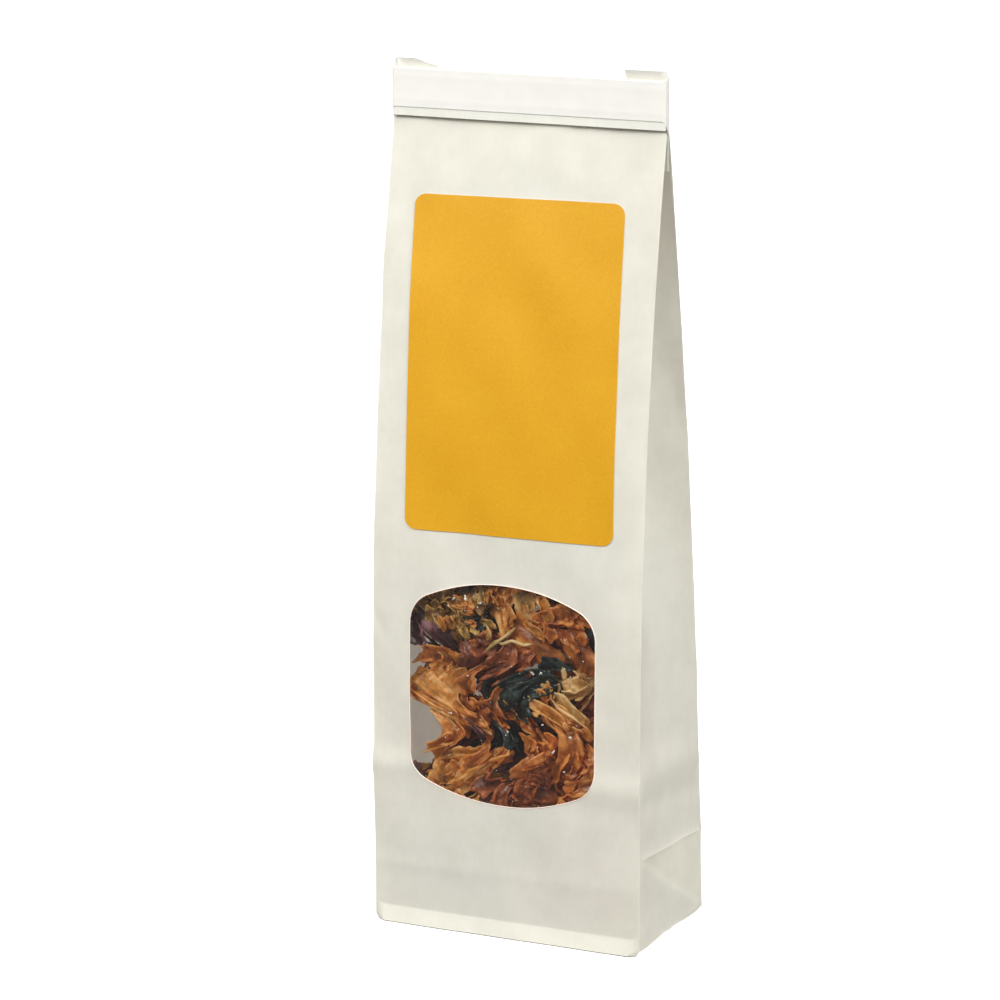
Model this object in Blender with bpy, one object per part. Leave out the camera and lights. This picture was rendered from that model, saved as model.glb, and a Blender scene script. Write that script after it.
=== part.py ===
"""A white paper bag of dried Irish moss, with a window, a label and a wire tie.

Blender 4.5, metres, +Z up. The origin is the middle of the bag's flat bottom,
the front faces -Y and the window shows the dried fronds inside.
"""

import math

import bmesh
import bpy
import numpy as np

MM = 0.001

# The paper bag
WIDTH = 80 * MM
DEPTH = 46 * MM
PAPER = 0.6 * MM
NECK_ROOT = 217 * MM  # the flat neck starts inside the body here
HOLLOW_TOP = 194 * MM  # above this the layers lie together
FOLD_TOP = 238 * MM
FLAP_DROP = 12.9 * MM  # how far the folded mouth hangs down in front
NECK_THICK = 1.3 * MM
NECK_MIDDLE = -4.6 * MM  # the neck leans forward of the bag's middle
FLAP_THICK = 0.8 * MM
FLAP_GAP = 0.4 * MM
FOLD_SOLID = 1.3 * MM  # paper above the gap between neck and flap
BELLY_START = 55 * MM  # the front stands upright up to here
BACK_BULGE = 4.2 * MM
GUSSET_START = 24 * MM  # the side folds begin above the block bottom
GUSSET_FULL = 130 * MM
BODY_LEVELS = [z * MM for z in (0, 24, 40, 55, 70, 85, 100, 115, 130, 145, 162, 178, 194, 210, 218, 225)]
PANEL_STEPS = 4
FOLD_STEPS = 2

# The window, a barrel outline: crowned top and bottom, straight sides
WINDOW_MIDDLE = -1.1 * MM
WINDOW_BASE = 38 * MM
WINDOW_WIDTH = 55.5 * MM
WINDOW_HEIGHT = 62.5 * MM
CROWN_RADIUS = 55 * MM
CORNER_RADIUS = 9 * MM
CUT_REACH = 5 * MM  # how far the window's cutter runs through the upright front, each way
FILM_MARGIN = 4 * MM
FILM_THICK = 0.3 * MM

# The label
LABEL_WIDTH = 61.8 * MM
LABEL_HEIGHT = 91 * MM
LABEL_CORNER = 3.3 * MM
LABEL_MIDDLE = (-0.4 * MM, 159.5 * MM)
LABEL_TURN = math.radians(0.83)
LABEL_THICK = 0.3 * MM

# The wire tie along the folded mouth
TIE_HEIGHT = 10.4 * MM
TIE_LIP = 2.4 * MM  # paper left showing below the tie
TIE_THICK = 1.2 * MM
TIE_SIDE_GAP = 0.4 * MM  # between the bag's edges and the tie's ends that wrap round them
TIE_BEND = 1.0 * MM
TAB_LENGTH = 12.5 * MM
TAB_DROP = 3.6 * MM  # the wrapped ends are wider than the strip in front: they reach lower
TAB_RISE = 1.7 * MM  # and higher
WIRE_SIDE = 0.5 * MM
WIRE_ROOM = 0.15 * MM
WIRE_INSET = 2.0 * MM
CHANNEL_REACH = 3 * MM  # how far the wire channels run out past the strip's ends

GAP = 0.3 * MM  # clearance between faces that touch on the real thing

# The dried fronds
BLADE_THICK = 0.65 * MM
FILL_BASE = 4 * MM
FILL_TOP = 124 * MM
FILL_HALF_WIDTH = 37.5 * MM
WALL_CLEARANCE = 2.0 * MM  # fronds to the bag's outer face
SIDE_CLEARANCE = 2.2 * MM
FILL_DEPTH = DEPTH - 2 * WALL_CLEARANCE
CELL_GAP = 0.7 * MM  # between neighbouring fronds of a layer

# The two crossed ruffles of a frond, and the three shears that carry the fill into the bag: how far each
# shear moves a frond, how near the fill's limits it fades out, and the lengths of its waves
RUFFLE_WAVES = (13 * MM, 8.5 * MM)
RUFFLE_SHARPNESS = 0.97
PUSH, PUSH_FADE = 2.6 * MM, 12 * MM
PUSH_WAVES = (31 * MM, 47 * MM, 19 * MM)
LIFT, LIFT_FADE = 2.0 * MM, 10 * MM
LIFT_WAVES = (12 * MM, 37 * MM)
SLIDE, SLIDE_FADE = 2.0 * MM, 10 * MM
SLIDE_WAVES = (14 * MM, 29 * MM)

# Where the window shows the bare bag on its left: the height, the reach up and down, and the room there
BARE_PLACES = ((57 * MM, 8 * MM, 11 * MM), (78 * MM, 4 * MM, 6 * MM))

# Linear red, green and blue
COLOURS = {
    "paper": (0.90, 0.885, 0.84),
    "film": (0.93, 0.95, 0.96),
    "label": (0.83, 0.42, 0.03),
    "tie": (0.92, 0.905, 0.87),
    "wire": (0.55, 0.55, 0.56),
    "amber": (0.46, 0.17, 0.03),
    "honey": (0.60, 0.31, 0.07),
    "russet": (0.22, 0.055, 0.022),
    "plum": (0.085, 0.028, 0.034),
    "olive": (0.20, 0.13, 0.035),
    "bottle": (0.014, 0.020, 0.016),
    "straw": (0.62, 0.48, 0.20),
}


def material(name, roughness=0.6, metallic=0.0, alpha=1.0):
    """The named finish, made once."""
    found = bpy.data.materials.get(name)
    if found:
        return found
    made = bpy.data.materials.new(name)
    made.use_nodes = True
    shader = made.node_tree.nodes["Principled BSDF"]
    shader.inputs["Base Color"].default_value = (*COLOURS[name], 1)
    shader.inputs["Roughness"].default_value = roughness
    shader.inputs["Metallic"].default_value = metallic
    shader.inputs["Alpha"].default_value = alpha
    return made


def add_object(name, mesh, finish):
    """Puts a mesh into the scene as a named piece with its finish."""
    piece = bpy.data.objects.new(name, mesh)
    piece.data.materials.append(finish)
    bpy.context.collection.objects.link(piece)
    return piece


def mesh_of(name, points, faces):
    """A mesh from points and faces, in any kind of sequence."""
    mesh = bpy.data.meshes.new(name)
    mesh.from_pydata([tuple(p) for p in points], [], [tuple(f) for f in faces])
    mesh.update()
    return mesh


def front_y(z):
    """Depth of the front panel's outer face: upright, then a parabola leaning back to the neck."""
    lean = np.clip((z - BELLY_START) / (FOLD_TOP - FLAP_DROP - BELLY_START), 0, 1) ** 2
    return -DEPTH / 2 + (NECK_MIDDLE - NECK_THICK / 2 + DEPTH / 2) * lean


def back_y(z):
    """Depth of the back panel's outer face: a straight lean to the neck plus a half-sine bulge."""
    rise = np.clip(z / (FOLD_TOP - FLAP_DROP), 0, 1)
    straight = DEPTH / 2 + (NECK_MIDDLE + NECK_THICK / 2 - DEPTH / 2) * rise
    return straight + BACK_BULGE * np.sin(np.pi * rise)


def gusset_inset(z):
    """How far a side fold reaches in: each half keeps its paper's length as the bag narrows."""
    half_paper = DEPTH / 2
    half_gap = np.minimum((back_y(z) - front_y(z)) / 2, half_paper)
    ideal = np.sqrt(half_paper**2 - half_gap**2)
    share = np.clip((z - GUSSET_START) / (GUSSET_FULL - GUSSET_START), 0, 1)
    return ideal * share * share * (3 - 2 * share)


def section(z, wall):
    """Corners of the bag's section at height z, set in by wall: front edge, fold and back edge, right then
    left."""
    front, back, inset = front_y(z), back_y(z), gusset_inset(z)
    middle = (front + back) / 2
    half_gap = (back - front) / 2
    run = math.hypot(inset, half_gap)
    apex = WIDTH / 2 - inset - wall * run / half_gap
    corner = apex + inset * (half_gap - wall) / half_gap
    right = [(corner, front + wall), (apex, middle), (corner, back - wall)]
    left = [(-x, y) for x, y in reversed(right)]
    return right + left


def ring(z, wall):
    """The section at height z as points, in steps along each panel and along each half of a side fold."""
    corners = section(z, wall)
    steps = [FOLD_STEPS, FOLD_STEPS, PANEL_STEPS, FOLD_STEPS, FOLD_STEPS, PANEL_STEPS]
    points = []
    for i, count in enumerate(steps):
        (x0, y0), (x1, y1) = corners[i], corners[(i + 1) % 6]
        for k in range(count):
            t = k / count
            points.append((x0 + (x1 - x0) * t, y0 + (y1 - y0) * t, z))
    return points


def loft(name, rings):
    """A closed body through rings of equal length, with flat ends."""
    count = len(rings[0])
    points = [p for r in rings for p in r]
    faces = []
    for level in range(len(rings) - 1):
        low, high = level * count, (level + 1) * count
        for k in range(count):
            j = (k + 1) % count
            faces.append((low + k, low + j, high + j, high + k))
    faces.append(tuple(reversed(range(count))))
    faces.append(tuple(range(len(points) - count, len(points))))
    return mesh_of(name, points, faces)


def cutter(name, mesh):
    """A hidden body for a boolean."""
    piece = bpy.data.objects.new(name, mesh)
    bpy.context.collection.objects.link(piece)
    piece.hide_render = True
    piece.display_type = "WIRE"
    return piece


def boolean(piece, other, operation):
    """Joins the other body to the piece, or cuts it from the piece."""
    modifier = piece.modifiers.new(operation.title(), "BOOLEAN")
    modifier.operation = operation
    modifier.object = other
    modifier.solver = "EXACT"


def arc(centre, radius, start, end, steps):
    """Points along a circular arc, angles in radians."""
    return [
        (centre[0] + radius * math.cos(a), centre[1] + radius * math.sin(a))
        for a in np.linspace(start, end, steps)
    ]


def window_outline(steps=5):
    """The barrel outline, anticlockwise: a crown arc, corner arcs tangent to it, straight sides."""
    half = WINDOW_WIDTH / 2
    middle_z = WINDOW_BASE + WINDOW_HEIGHT / 2
    crown_z = WINDOW_HEIGHT / 2 - CROWN_RADIUS
    corner_x = half - CORNER_RADIUS
    corner_z = crown_z + math.sqrt((CROWN_RADIUS - CORNER_RADIUS) ** 2 - corner_x**2)
    meet = math.atan2(corner_z - crown_z, corner_x)
    corner = arc((corner_x, corner_z), CORNER_RADIUS, 0, meet, steps)
    crown = arc((0, crown_z), CROWN_RADIUS, meet, math.pi - meet, 2 * steps)[1:-1]
    upper = corner + crown + [(-x, z) for x, z in reversed(corner)]
    lower = [(-x, -z) for x, z in upper]
    return [(WINDOW_MIDDLE + x, middle_z + z) for x, z in upper + lower]


def window_body():
    """The window's outline carried from in front of the upright front panel to behind it."""
    near, far = -DEPTH / 2 - CUT_REACH, -DEPTH / 2 + CUT_REACH
    outline = window_outline()
    return outward(loft("window", [[(x, y, z) for x, z in outline] for y in (near, far)]))


def folded_mouth():
    """The flat neck, folded forward over its top and hanging down in front, as one strip across the bag."""
    back = NECK_MIDDLE + NECK_THICK / 2
    front = NECK_MIDDLE - NECK_THICK / 2
    flap_back = front - FLAP_GAP
    flap_front = flap_back - FLAP_THICK
    slot_top = FOLD_TOP - FOLD_SOLID
    flap_end = FOLD_TOP - FLAP_DROP
    bend = (back - flap_front) / 2
    crown = arc(((back + flap_front) / 2, FOLD_TOP - bend), bend, 0, math.pi, 7)
    side = [(back, NECK_ROOT)] + crown + [(flap_front, flap_end), (flap_back, flap_end)]
    side += [(flap_back, slot_top), (front, slot_top), (front, NECK_ROOT)]
    return outward(loft("neck", [[(x, y, z) for y, z in side] for x in (-WIDTH / 2, WIDTH / 2)]))


def outward(mesh):
    """The mesh with all its faces turned outwards."""
    work = bmesh.new()
    work.from_mesh(mesh)
    bmesh.ops.recalc_face_normals(work, faces=work.faces)
    work.to_mesh(mesh)
    work.free()
    return mesh


def make_bag():
    """The bag: one folded sheet of paper, hollow, open at the window."""
    body = [ring(z, 0) for z in BODY_LEVELS]
    bag = add_object("paper_bag", outward(loft("paper_bag", body)), material("paper", 0.85))
    hollow = [ring(z, PAPER) for z in [PAPER] + BODY_LEVELS[1:] if z <= HOLLOW_TOP]
    hollow_cut = cutter("hollow", outward(loft("hollow", hollow)))
    boolean(bag, cutter("neck", folded_mouth()), "UNION")
    boolean(bag, hollow_cut, "DIFFERENCE")
    boolean(bag, cutter("window", window_body()), "DIFFERENCE")


def sheet_on_front(name, outline, offset, thick, finish, cell=8 * MM):
    """A thin sheet that follows the front panel: its outline is cut into strips one cell high, which lie at
    the given offset from the panel's face."""
    work = bmesh.new()
    corners = [work.verts.new((x, 0, z)) for x, z in outline]
    work.faces.new(corners)
    lowest = min(z for _, z in outline)
    highest = max(z for _, z in outline)
    for height in np.arange(lowest + cell, highest - cell / 4, cell):
        geometry = work.verts[:] + work.edges[:] + work.faces[:]
        bmesh.ops.bisect_plane(work, geom=geometry, plane_co=(0, 0, height), plane_no=(0, 0, 1))
    bmesh.ops.triangulate(work, faces=work.faces)
    for vertex in work.verts:
        vertex.co.y = float(front_y(vertex.co.z)) + offset
    bmesh.ops.recalc_face_normals(work, faces=work.faces)
    if sum(face.normal.y for face in work.faces) > 0:
        bmesh.ops.reverse_faces(work, faces=work.faces)
    mesh = bpy.data.meshes.new(name)
    work.to_mesh(mesh)
    work.free()
    piece = add_object(name, mesh, finish)
    solidify = piece.modifiers.new("Solidify", "SOLIDIFY")
    solidify.thickness = thick
    solidify.offset = -1


def make_film():
    """The clear film behind the window, a little larger than the hole."""
    half = WINDOW_WIDTH / 2 + FILM_MARGIN
    left, right = WINDOW_MIDDLE - half, WINDOW_MIDDLE + half
    low, high = WINDOW_BASE - FILM_MARGIN, WINDOW_BASE + WINDOW_HEIGHT + FILM_MARGIN
    outline = [(left, low), (right, low), (right, high), (left, high)]
    sheet_on_front("window_film", outline, PAPER + GAP, FILM_THICK, material("film", 0.05, alpha=0.2))


def make_label():
    """The stuck-on label: a round-cornered rectangle, a touch askew."""
    half_w, half_h = LABEL_WIDTH / 2 - LABEL_CORNER, LABEL_HEIGHT / 2 - LABEL_CORNER
    outline = []
    for i, (sx, sz) in enumerate(((1, 1), (-1, 1), (-1, -1), (1, -1))):
        start = i * math.pi / 2
        outline += arc((sx * half_w, sz * half_h), LABEL_CORNER, start, start + math.pi / 2, 4)
    turn_c, turn_s = math.cos(LABEL_TURN), math.sin(LABEL_TURN)
    turned = [
        (LABEL_MIDDLE[0] + x * turn_c - z * turn_s, LABEL_MIDDLE[1] + x * turn_s + z * turn_c)
        for x, z in outline
    ]
    sheet_on_front("label", turned, -GAP - LABEL_THICK, LABEL_THICK, material("label", 0.45))


def tie_path():
    """The tie's middle line, seen from above: from behind one end round it, along the front and round the
    other end."""
    flap_front = NECK_MIDDLE - NECK_THICK / 2 - FLAP_GAP - FLAP_THICK
    front = flap_front - GAP - TIE_THICK / 2
    back = NECK_MIDDLE + NECK_THICK / 2 + GAP + TIE_THICK / 2
    side = WIDTH / 2 + TIE_SIDE_GAP + TIE_THICK / 2
    corner = side - TIE_BEND
    near = arc((corner, front + TIE_BEND), TIE_BEND, -math.pi / 2, 0, 4)
    far = arc((corner, back - TIE_BEND), TIE_BEND, 0, math.pi / 2, 4)
    right = [(0.0, front)] + near + far + [(side - TAB_LENGTH, back)]
    left = [(-x, y) for x, y in reversed(right[1:])]
    return left + right


def tie_band(name, low, high, half_thick, drop, rise, longer=0.0):
    """A strip along the tie's path between two heights. Past the bends its lower edge is lower by drop and
    its upper edge higher by rise, and longer adds to both of its ends."""
    path = tie_path()
    front, back = min(y for _, y in path), max(y for _, y in path)
    path[0] = (path[0][0] + longer, path[0][1])
    path[-1] = (path[-1][0] - longer, path[-1][1])
    rings = []
    for i, (x, y) in enumerate(path):
        before, after = path[max(i - 1, 0)], path[min(i + 1, len(path) - 1)]
        run = math.hypot(after[0] - before[0], after[1] - before[1])
        dx = (after[1] - before[1]) / run * half_thick
        dy = -(after[0] - before[0]) / run * half_thick
        outer, inner = (x + dx, y + dy), (x - dx, y - dy)
        round_bend = (y - front) / (back - front)
        bottom = low - drop * min(2 * round_bend, 1)
        top = high + rise * round_bend
        rings.append([(*outer, bottom), (*inner, bottom), (*inner, top), (*outer, top)])
    return outward(loft(name, rings))


def make_tie():
    """The paper-covered tie with its two wires, whose channels are open at the cut ends."""
    low = FOLD_TOP - FLAP_DROP + TIE_LIP
    high = low + TIE_HEIGHT
    strip = tie_band("tie_strip", low, high, TIE_THICK / 2, TAB_DROP, TAB_RISE)
    tie = add_object("tie_strip", strip, material("tie", 0.6))
    half = WIRE_SIDE / 2
    room = half + WIRE_ROOM
    for name, height in (("tie_wire_lower", low + WIRE_INSET), ("tie_wire_upper", high - WIRE_INSET)):
        channel_name = name + "_channel"
        channel = tie_band(channel_name, height - room, height + room, room, 0, 0, CHANNEL_REACH)
        boolean(tie, cutter(channel_name, channel), "DIFFERENCE")
        wire = tie_band(name, height - half, height + half, half, 0, 0)
        add_object(name, wire, material("wire", 0.4, metallic=1.0))


# Fronds: a flat fan that forks in two, ruffled, then carried into the bag by shears that never cross


def grow_fan(rng, forks, spread):
    """A flat frond as points and quads. Its foot is at the origin, its lobes share a sector of the unit disc.
    A blade has a row of left, middle and right points, then a fork row of five, of which each branch keeps
    three. At a tip the same five points make a rounded end with a notch."""
    points, quads = [], []
    swirl = rng.uniform(-0.5, 0.5)

    def put(radius, angle):
        turned = angle + swirl * radius
        points.append((radius * math.cos(turned), radius * math.sin(turned)))
        return len(points) - 1

    def lobe(row, middle, half, start, level):
        """Carries one blade out to its own fork, or to its notched tip."""
        last = level == forks
        end = (level + 1) / (forks + 1) * rng.uniform(0.88, 1.08)
        left, right = half * rng.uniform(0.78, 1.0, 2) * (0.85 if level == 0 else 1.0)
        halfway = (start + end) / 2
        waist = [put(halfway, middle + left), put(halfway, middle), put(halfway, middle - right)]
        depth = rng.uniform(0.05, 0.1)
        shoulder = end - depth * (1.4 if last else 0.5)
        fork = [
            put(shoulder, middle + half),
            put(end + depth / 2, middle + half * 0.5),
            put(end - depth * 0.8, middle),
            put(end + depth / 2, middle - half * 0.5),
            put(shoulder, middle - half),
        ]
        quads.append((row[0], waist[0], waist[1], row[1]))
        quads.append((row[1], waist[1], waist[2], row[2]))
        quads.append((waist[0], fork[0], fork[1], waist[1]))
        quads.append((waist[1], fork[1], fork[2], fork[3]))
        quads.append((waist[1], fork[3], fork[4], waist[2]))
        if last:
            return
        for side, branch in ((1, fork[0:3]), (-1, fork[2:5])):
            narrower = half / 2 * rng.uniform(0.84, 0.95)
            lobe(branch, middle + side * half / 2, narrower, end, level + 1)

    foot = [put(0.1, spread / 2), put(0.04, 0), put(0.1, -spread / 2)]
    lobe(foot, 0.0, spread / 2, 0.1, 0)
    return np.array(points), quads


def fit_to_cell(flat, turn, cell):
    """Turns the flat frond and stretches its box to fill the cell (x, z, width, height)."""
    spin = np.array([[math.cos(turn), -math.sin(turn)], [math.sin(turn), math.cos(turn)]])
    turned = flat @ spin.T
    low, high = turned.min(0), turned.max(0)
    return (turned - (low + high) / 2) * np.array(cell[2:]) / (high - low) + np.array(cell[:2])


def crumple(flat, rng, height):
    """Ruffle height over the flat frond: two crossed triangle waves of random direction, within +-height."""
    total = np.zeros(len(flat))
    for wave in RUFFLE_WAVES:
        direction = rng.uniform(0, 2 * math.pi)
        across = flat[:, 0] * math.cos(direction) + flat[:, 1] * math.sin(direction)
        phase = across * (2 * math.pi / wave) + rng.uniform(0, 2 * math.pi)
        total += np.arcsin(np.sin(phase) * RUFFLE_SHARPNESS) / math.pi
    return total * height


def taper(value, low, high, run):
    """0 at the limits and beyond, 1 further in than run."""
    share = np.clip(np.minimum(value - low, high - value) / run, 0, 1)
    return share * share * (3 - 2 * share)


def side_room(z):
    """How far the fill draws back from the left wall, where the window shows the bare bag."""
    return sum(room * np.exp(-(((z - height) / reach) ** 2)) for height, reach, room in BARE_PLACES)


def into_bag(x, y, z):
    """Carries the fill from its plain block into the bag: three shears, then a squeeze between the walls.
    y is the depth behind the window, 0 to FILL_DEPTH. Each step is one-to-one, so fronds never cross."""
    turn = 2 * math.pi
    push = PUSH * taper(y, 0, FILL_DEPTH, PUSH_FADE)
    slanted = np.sin(turn * (x / PUSH_WAVES[0] + z / PUSH_WAVES[1]))
    level = np.sin(turn * z / PUSH_WAVES[2] + 1.1)
    y = y + push * (0.6 * slanted + 0.4 * level)
    lift = LIFT * taper(z, FILL_BASE, FILL_TOP, LIFT_FADE)
    z = z + lift * np.sin(turn * (y / LIFT_WAVES[0] + x / LIFT_WAVES[1]) + 0.4)
    slide = SLIDE * taper(x, -FILL_HALF_WIDTH, FILL_HALF_WIDTH, SLIDE_FADE)
    x = x + slide * np.sin(turn * (y / SLIDE_WAVES[0] + z / SLIDE_WAVES[1]) + 2.0)
    near = front_y(z) + WALL_CLEARANCE
    far = back_y(z) - WALL_CLEARANCE
    depth = near + (far - near) * y / FILL_DEPTH
    fold = gusset_inset(z) * (1 - np.abs(2 * (depth - front_y(z)) / (back_y(z) - front_y(z)) - 1))
    right = WIDTH / 2 - fold - SIDE_CLEARANCE
    left = -right + side_room(z)
    across = (x + FILL_HALF_WIDTH) / (2 * FILL_HALF_WIDTH)
    return np.stack([left + (right - left) * across, depth, z], -1)


def make_frond(name, tint, seed, cell, depth, ruffle, turn, forks, spread):
    """One dried frond: a forked fan, ruffled in its own layer of the fill and made as thick as a blade."""
    rng = np.random.default_rng(seed)
    flat, quads = grow_fan(rng, forks, spread)
    flat = fit_to_cell(flat, turn, cell)
    height = depth + crumple(flat, rng, ruffle)
    placed = into_bag(flat[:, 0], height, flat[:, 1])
    mesh = mesh_of(name, placed, quads)
    work = bmesh.new()
    work.from_mesh(mesh)
    bmesh.ops.triangulate(work, faces=work.faces)
    bmesh.ops.recalc_face_normals(work, faces=work.faces)
    work.to_mesh(mesh)
    work.free()
    frond = add_object(name, mesh, material(tint, 0.4))
    solidify = frond.modifiers.new("Solidify", "SOLIDIFY")
    solidify.thickness = BLADE_THICK
    solidify.offset = 0


# The fronds just behind the window: tint, where each one shows in it (x, z, width, height in mm, seen from
# the right and above), the way its tips point in degrees, how often it forks and its fan's angle in radians
FRONT_FRONDS = [
    ("olive", -15.5, 95, 21, 13.5, 200, 3, 3.4),
    ("honey", 4, 94.5, 15.5, 13, 280, 2, 2.8),
    ("amber", 19.5, 92.5, 13, 13, 20, 2, 2.6),
    ("honey", -21.5, 72.2, 17, 21, 170, 3, 3.4),
    ("russet", -3, 78.8, 18, 16, 40, 2, 2.6),
    ("amber", -3.5, 65.3, 17, 8.7, 15, 2, 1.8),
    ("straw", 20.5, 76.5, 13, 11, 120, 2, 2.8),
    ("honey", 16, 65.6, 20, 9, 250, 3, 3.2),
    ("amber", 6, 55.3, 16, 10, 200, 2, 3.0),
    ("amber", 21, 50.7, 12, 19.5, 80, 2, 1.8),
    ("honey", -15.5, 47.5, 23, 13.5, 190, 3, 3.4),
    ("russet", 5.5, 43.2, 17, 11.5, 320, 3, 3.2),
]
SECOND_FRONDS = [
    ("bottle", -6, 91.5, 22, 15, 350, 2, 2.6),
    ("plum", -24.5, 89, 13, 18, 250, 2, 2.6),
    ("russet", 13.5, 89.5, 15, 19, 60, 2, 2.8),
    ("bottle", 27.5, 89.5, 11, 19, 80, 2, 2.0),
    ("plum", -14, 75, 16, 15.5, 300, 2, 2.8),
    ("bottle", 6, 71.8, 22, 14.5, 215, 2, 1.8),
    ("russet", 25, 70.5, 14, 17, 270, 2, 2.6),
    ("bottle", -1.5, 56.2, 15, 14, 310, 2, 2.0),
    ("russet", -15.5, 58.5, 11, 15, 140, 2, 3.0),
    ("amber", 18.5, 54.2, 23, 13.5, 230, 2, 3.0),
    ("plum", -17, 42, 26, 12.5, 20, 2, 3.0),
    ("amber", 12, 40.2, 30, 12, 180, 2, 3.2),
]
SIGHT_SLOPE = (-0.44, -0.27)  # how far the line of sight runs sideways and down for each step into the bag
LAYER_DEPTHS = [2.6 * MM, 7.8 * MM, 13.4 * MM, 20.2 * MM, 28.2 * MM, 36.6 * MM]
RUFFLES = [1.9 * MM, 2.1 * MM, 2.3 * MM, 3.0 * MM, 3.5 * MM, 3.5 * MM]
BELOW_WINDOW = (FILL_BASE, 30 * MM)
ABOVE_WINDOW = (102.5 * MM, FILL_TOP)
LOW_HALF = (FILL_BASE, 63 * MM)
HIGH_HALF = (65 * MM, FILL_TOP)
BACK_TINTS = ["amber", "russet", "honey", "plum", "olive", "amber", "bottle", "honey", "straw"]


def make_fill():
    """The listed fronds behind the window, and pairs of larger ones by rule around and behind them."""
    count = 0

    def frond(tint, layer, cell, heading, forks=2, spread=3.0):
        nonlocal count
        count += 1
        name = f"frond_{count:02d}_{tint}"
        make_frond(name, tint, 100 + count, cell, LAYER_DEPTHS[layer], RUFFLES[layer], heading, forks, spread)

    def pair(layer, low, high):
        for side in (-1, 1):
            tint = BACK_TINTS[(count * 4 + layer) % len(BACK_TINTS)]
            cell = (side * FILL_HALF_WIDTH / 2, (low + high) / 2, FILL_HALF_WIDTH - 2 * CELL_GAP, high - low)
            frond(tint, layer, cell, count * 1.7)

    for layer, listed in enumerate((FRONT_FRONDS, SECOND_FRONDS)):
        behind_face = WALL_CLEARANCE + LAYER_DEPTHS[layer]
        for tint, x, z, width, height, heading, forks, spread in listed:
            place = (x * MM + SIGHT_SLOPE[0] * behind_face, z * MM + SIGHT_SLOPE[1] * behind_face)
            frond(tint, layer, (*place, width * MM, height * MM), math.radians(heading), forks, spread)
        pair(layer, *BELOW_WINDOW)
        pair(layer, *ABOVE_WINDOW)
    third = (FILL_TOP - FILL_BASE) / 3
    for row in range(3):
        pair(2, FILL_BASE + row * third + CELL_GAP, FILL_BASE + (row + 1) * third - CELL_GAP)
    for layer in range(3, len(LAYER_DEPTHS)):
        pair(layer, *LOW_HALF)
        pair(layer, *HIGH_HALF)


def main():
    """Empties the scene and makes every piece."""
    for leftover in list(bpy.data.objects):
        bpy.data.objects.remove(leftover)
    make_bag()
    make_film()
    make_label()
    make_tie()
    make_fill()


main()
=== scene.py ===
"""Looks of a white paper bag of dried Irish moss: paper, window film, label, wire tie and seaweed.

Blender 4.5, metres, +Z up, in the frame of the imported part: the front faces -Y and the bag stands at z = 0.
Shapes are surfaces worked out as whole arrays and put into meshes.
"""

import math

import bpy
import numpy as np
from mathutils import Matrix, Vector


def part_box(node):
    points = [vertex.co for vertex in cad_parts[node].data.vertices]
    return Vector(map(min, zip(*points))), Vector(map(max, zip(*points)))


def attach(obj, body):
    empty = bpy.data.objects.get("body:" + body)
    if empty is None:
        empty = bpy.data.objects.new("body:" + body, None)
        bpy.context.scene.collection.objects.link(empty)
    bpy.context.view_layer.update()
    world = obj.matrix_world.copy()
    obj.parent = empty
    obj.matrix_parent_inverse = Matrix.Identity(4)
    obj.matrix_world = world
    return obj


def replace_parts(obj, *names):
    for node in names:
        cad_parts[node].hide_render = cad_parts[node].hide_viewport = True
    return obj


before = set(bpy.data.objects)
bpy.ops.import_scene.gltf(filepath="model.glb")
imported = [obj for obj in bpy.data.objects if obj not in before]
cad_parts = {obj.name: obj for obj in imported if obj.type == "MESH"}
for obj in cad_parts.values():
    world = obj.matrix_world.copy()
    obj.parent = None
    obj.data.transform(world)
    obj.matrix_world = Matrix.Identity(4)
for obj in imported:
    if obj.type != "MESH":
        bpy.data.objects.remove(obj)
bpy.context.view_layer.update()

MM = 0.001
TURN = 2 * math.pi

# The bag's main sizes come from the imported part, the rest follow its construction
bag_low, bag_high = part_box("paper_bag")
WIDTH = bag_high.x - bag_low.x
DEPTH = bag_high.y - bag_low.y
FOLD_TOP = bag_high.z
FLAP_DROP = 12.9 * MM  # how far the folded mouth hangs down in front
FLAP_END = FOLD_TOP - FLAP_DROP
NECK_THICK = 1.3 * MM
NECK_MIDDLE = -4.6 * MM
FLAP_THICK = 1.2 * MM
FLAP_FRONT = NECK_MIDDLE - NECK_THICK / 2 - FLAP_THICK
BELLY_START = 55 * MM
BACK_BULGE = 4.2 * MM
GUSSET_START = 24 * MM
GUSSET_FULL = 130 * MM
PAPER = 0.28 * MM  # a heavy kraft, drawn twice as thick as it is so that its cut edge shows
SHELL_TOP = 231 * MM  # the body's walls end inside the folded mouth
INNER_SHEET = 0.14 * MM  # the folded mouth's sheets, the seam and the block bottom's corners
MOUTH_RADIUS = 1.17 * MM  # of the outermost sheet's bend at the mouth
MOUTH_STEP = 0.2 * MM
MOUTH_ENDS = (0.0, 0.25 * MM, 0.1 * MM, 0.4 * MM)  # how much higher each sheet ends than the outermost one
CUT_EDGE = math.radians(50)  # paper that turns by more than this shows a sharp edge

WINDOW_MIDDLE = -1.1 * MM
WINDOW_BASE = 38 * MM
WINDOW_WIDTH = 55.5 * MM
WINDOW_HEIGHT = 62.5 * MM
CROWN_RADIUS = 55 * MM
CORNER_RADIUS = 9 * MM
FILM_MARGIN = 4 * MM

LABEL_WIDTH = 61.8 * MM
LABEL_HEIGHT = 91 * MM
LABEL_CORNER = 3.3 * MM
LABEL_MIDDLE = (-0.4 * MM, 159.5 * MM)
LABEL_TURN = math.radians(0.83)
LABEL_THICK = 0.16 * MM

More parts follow.
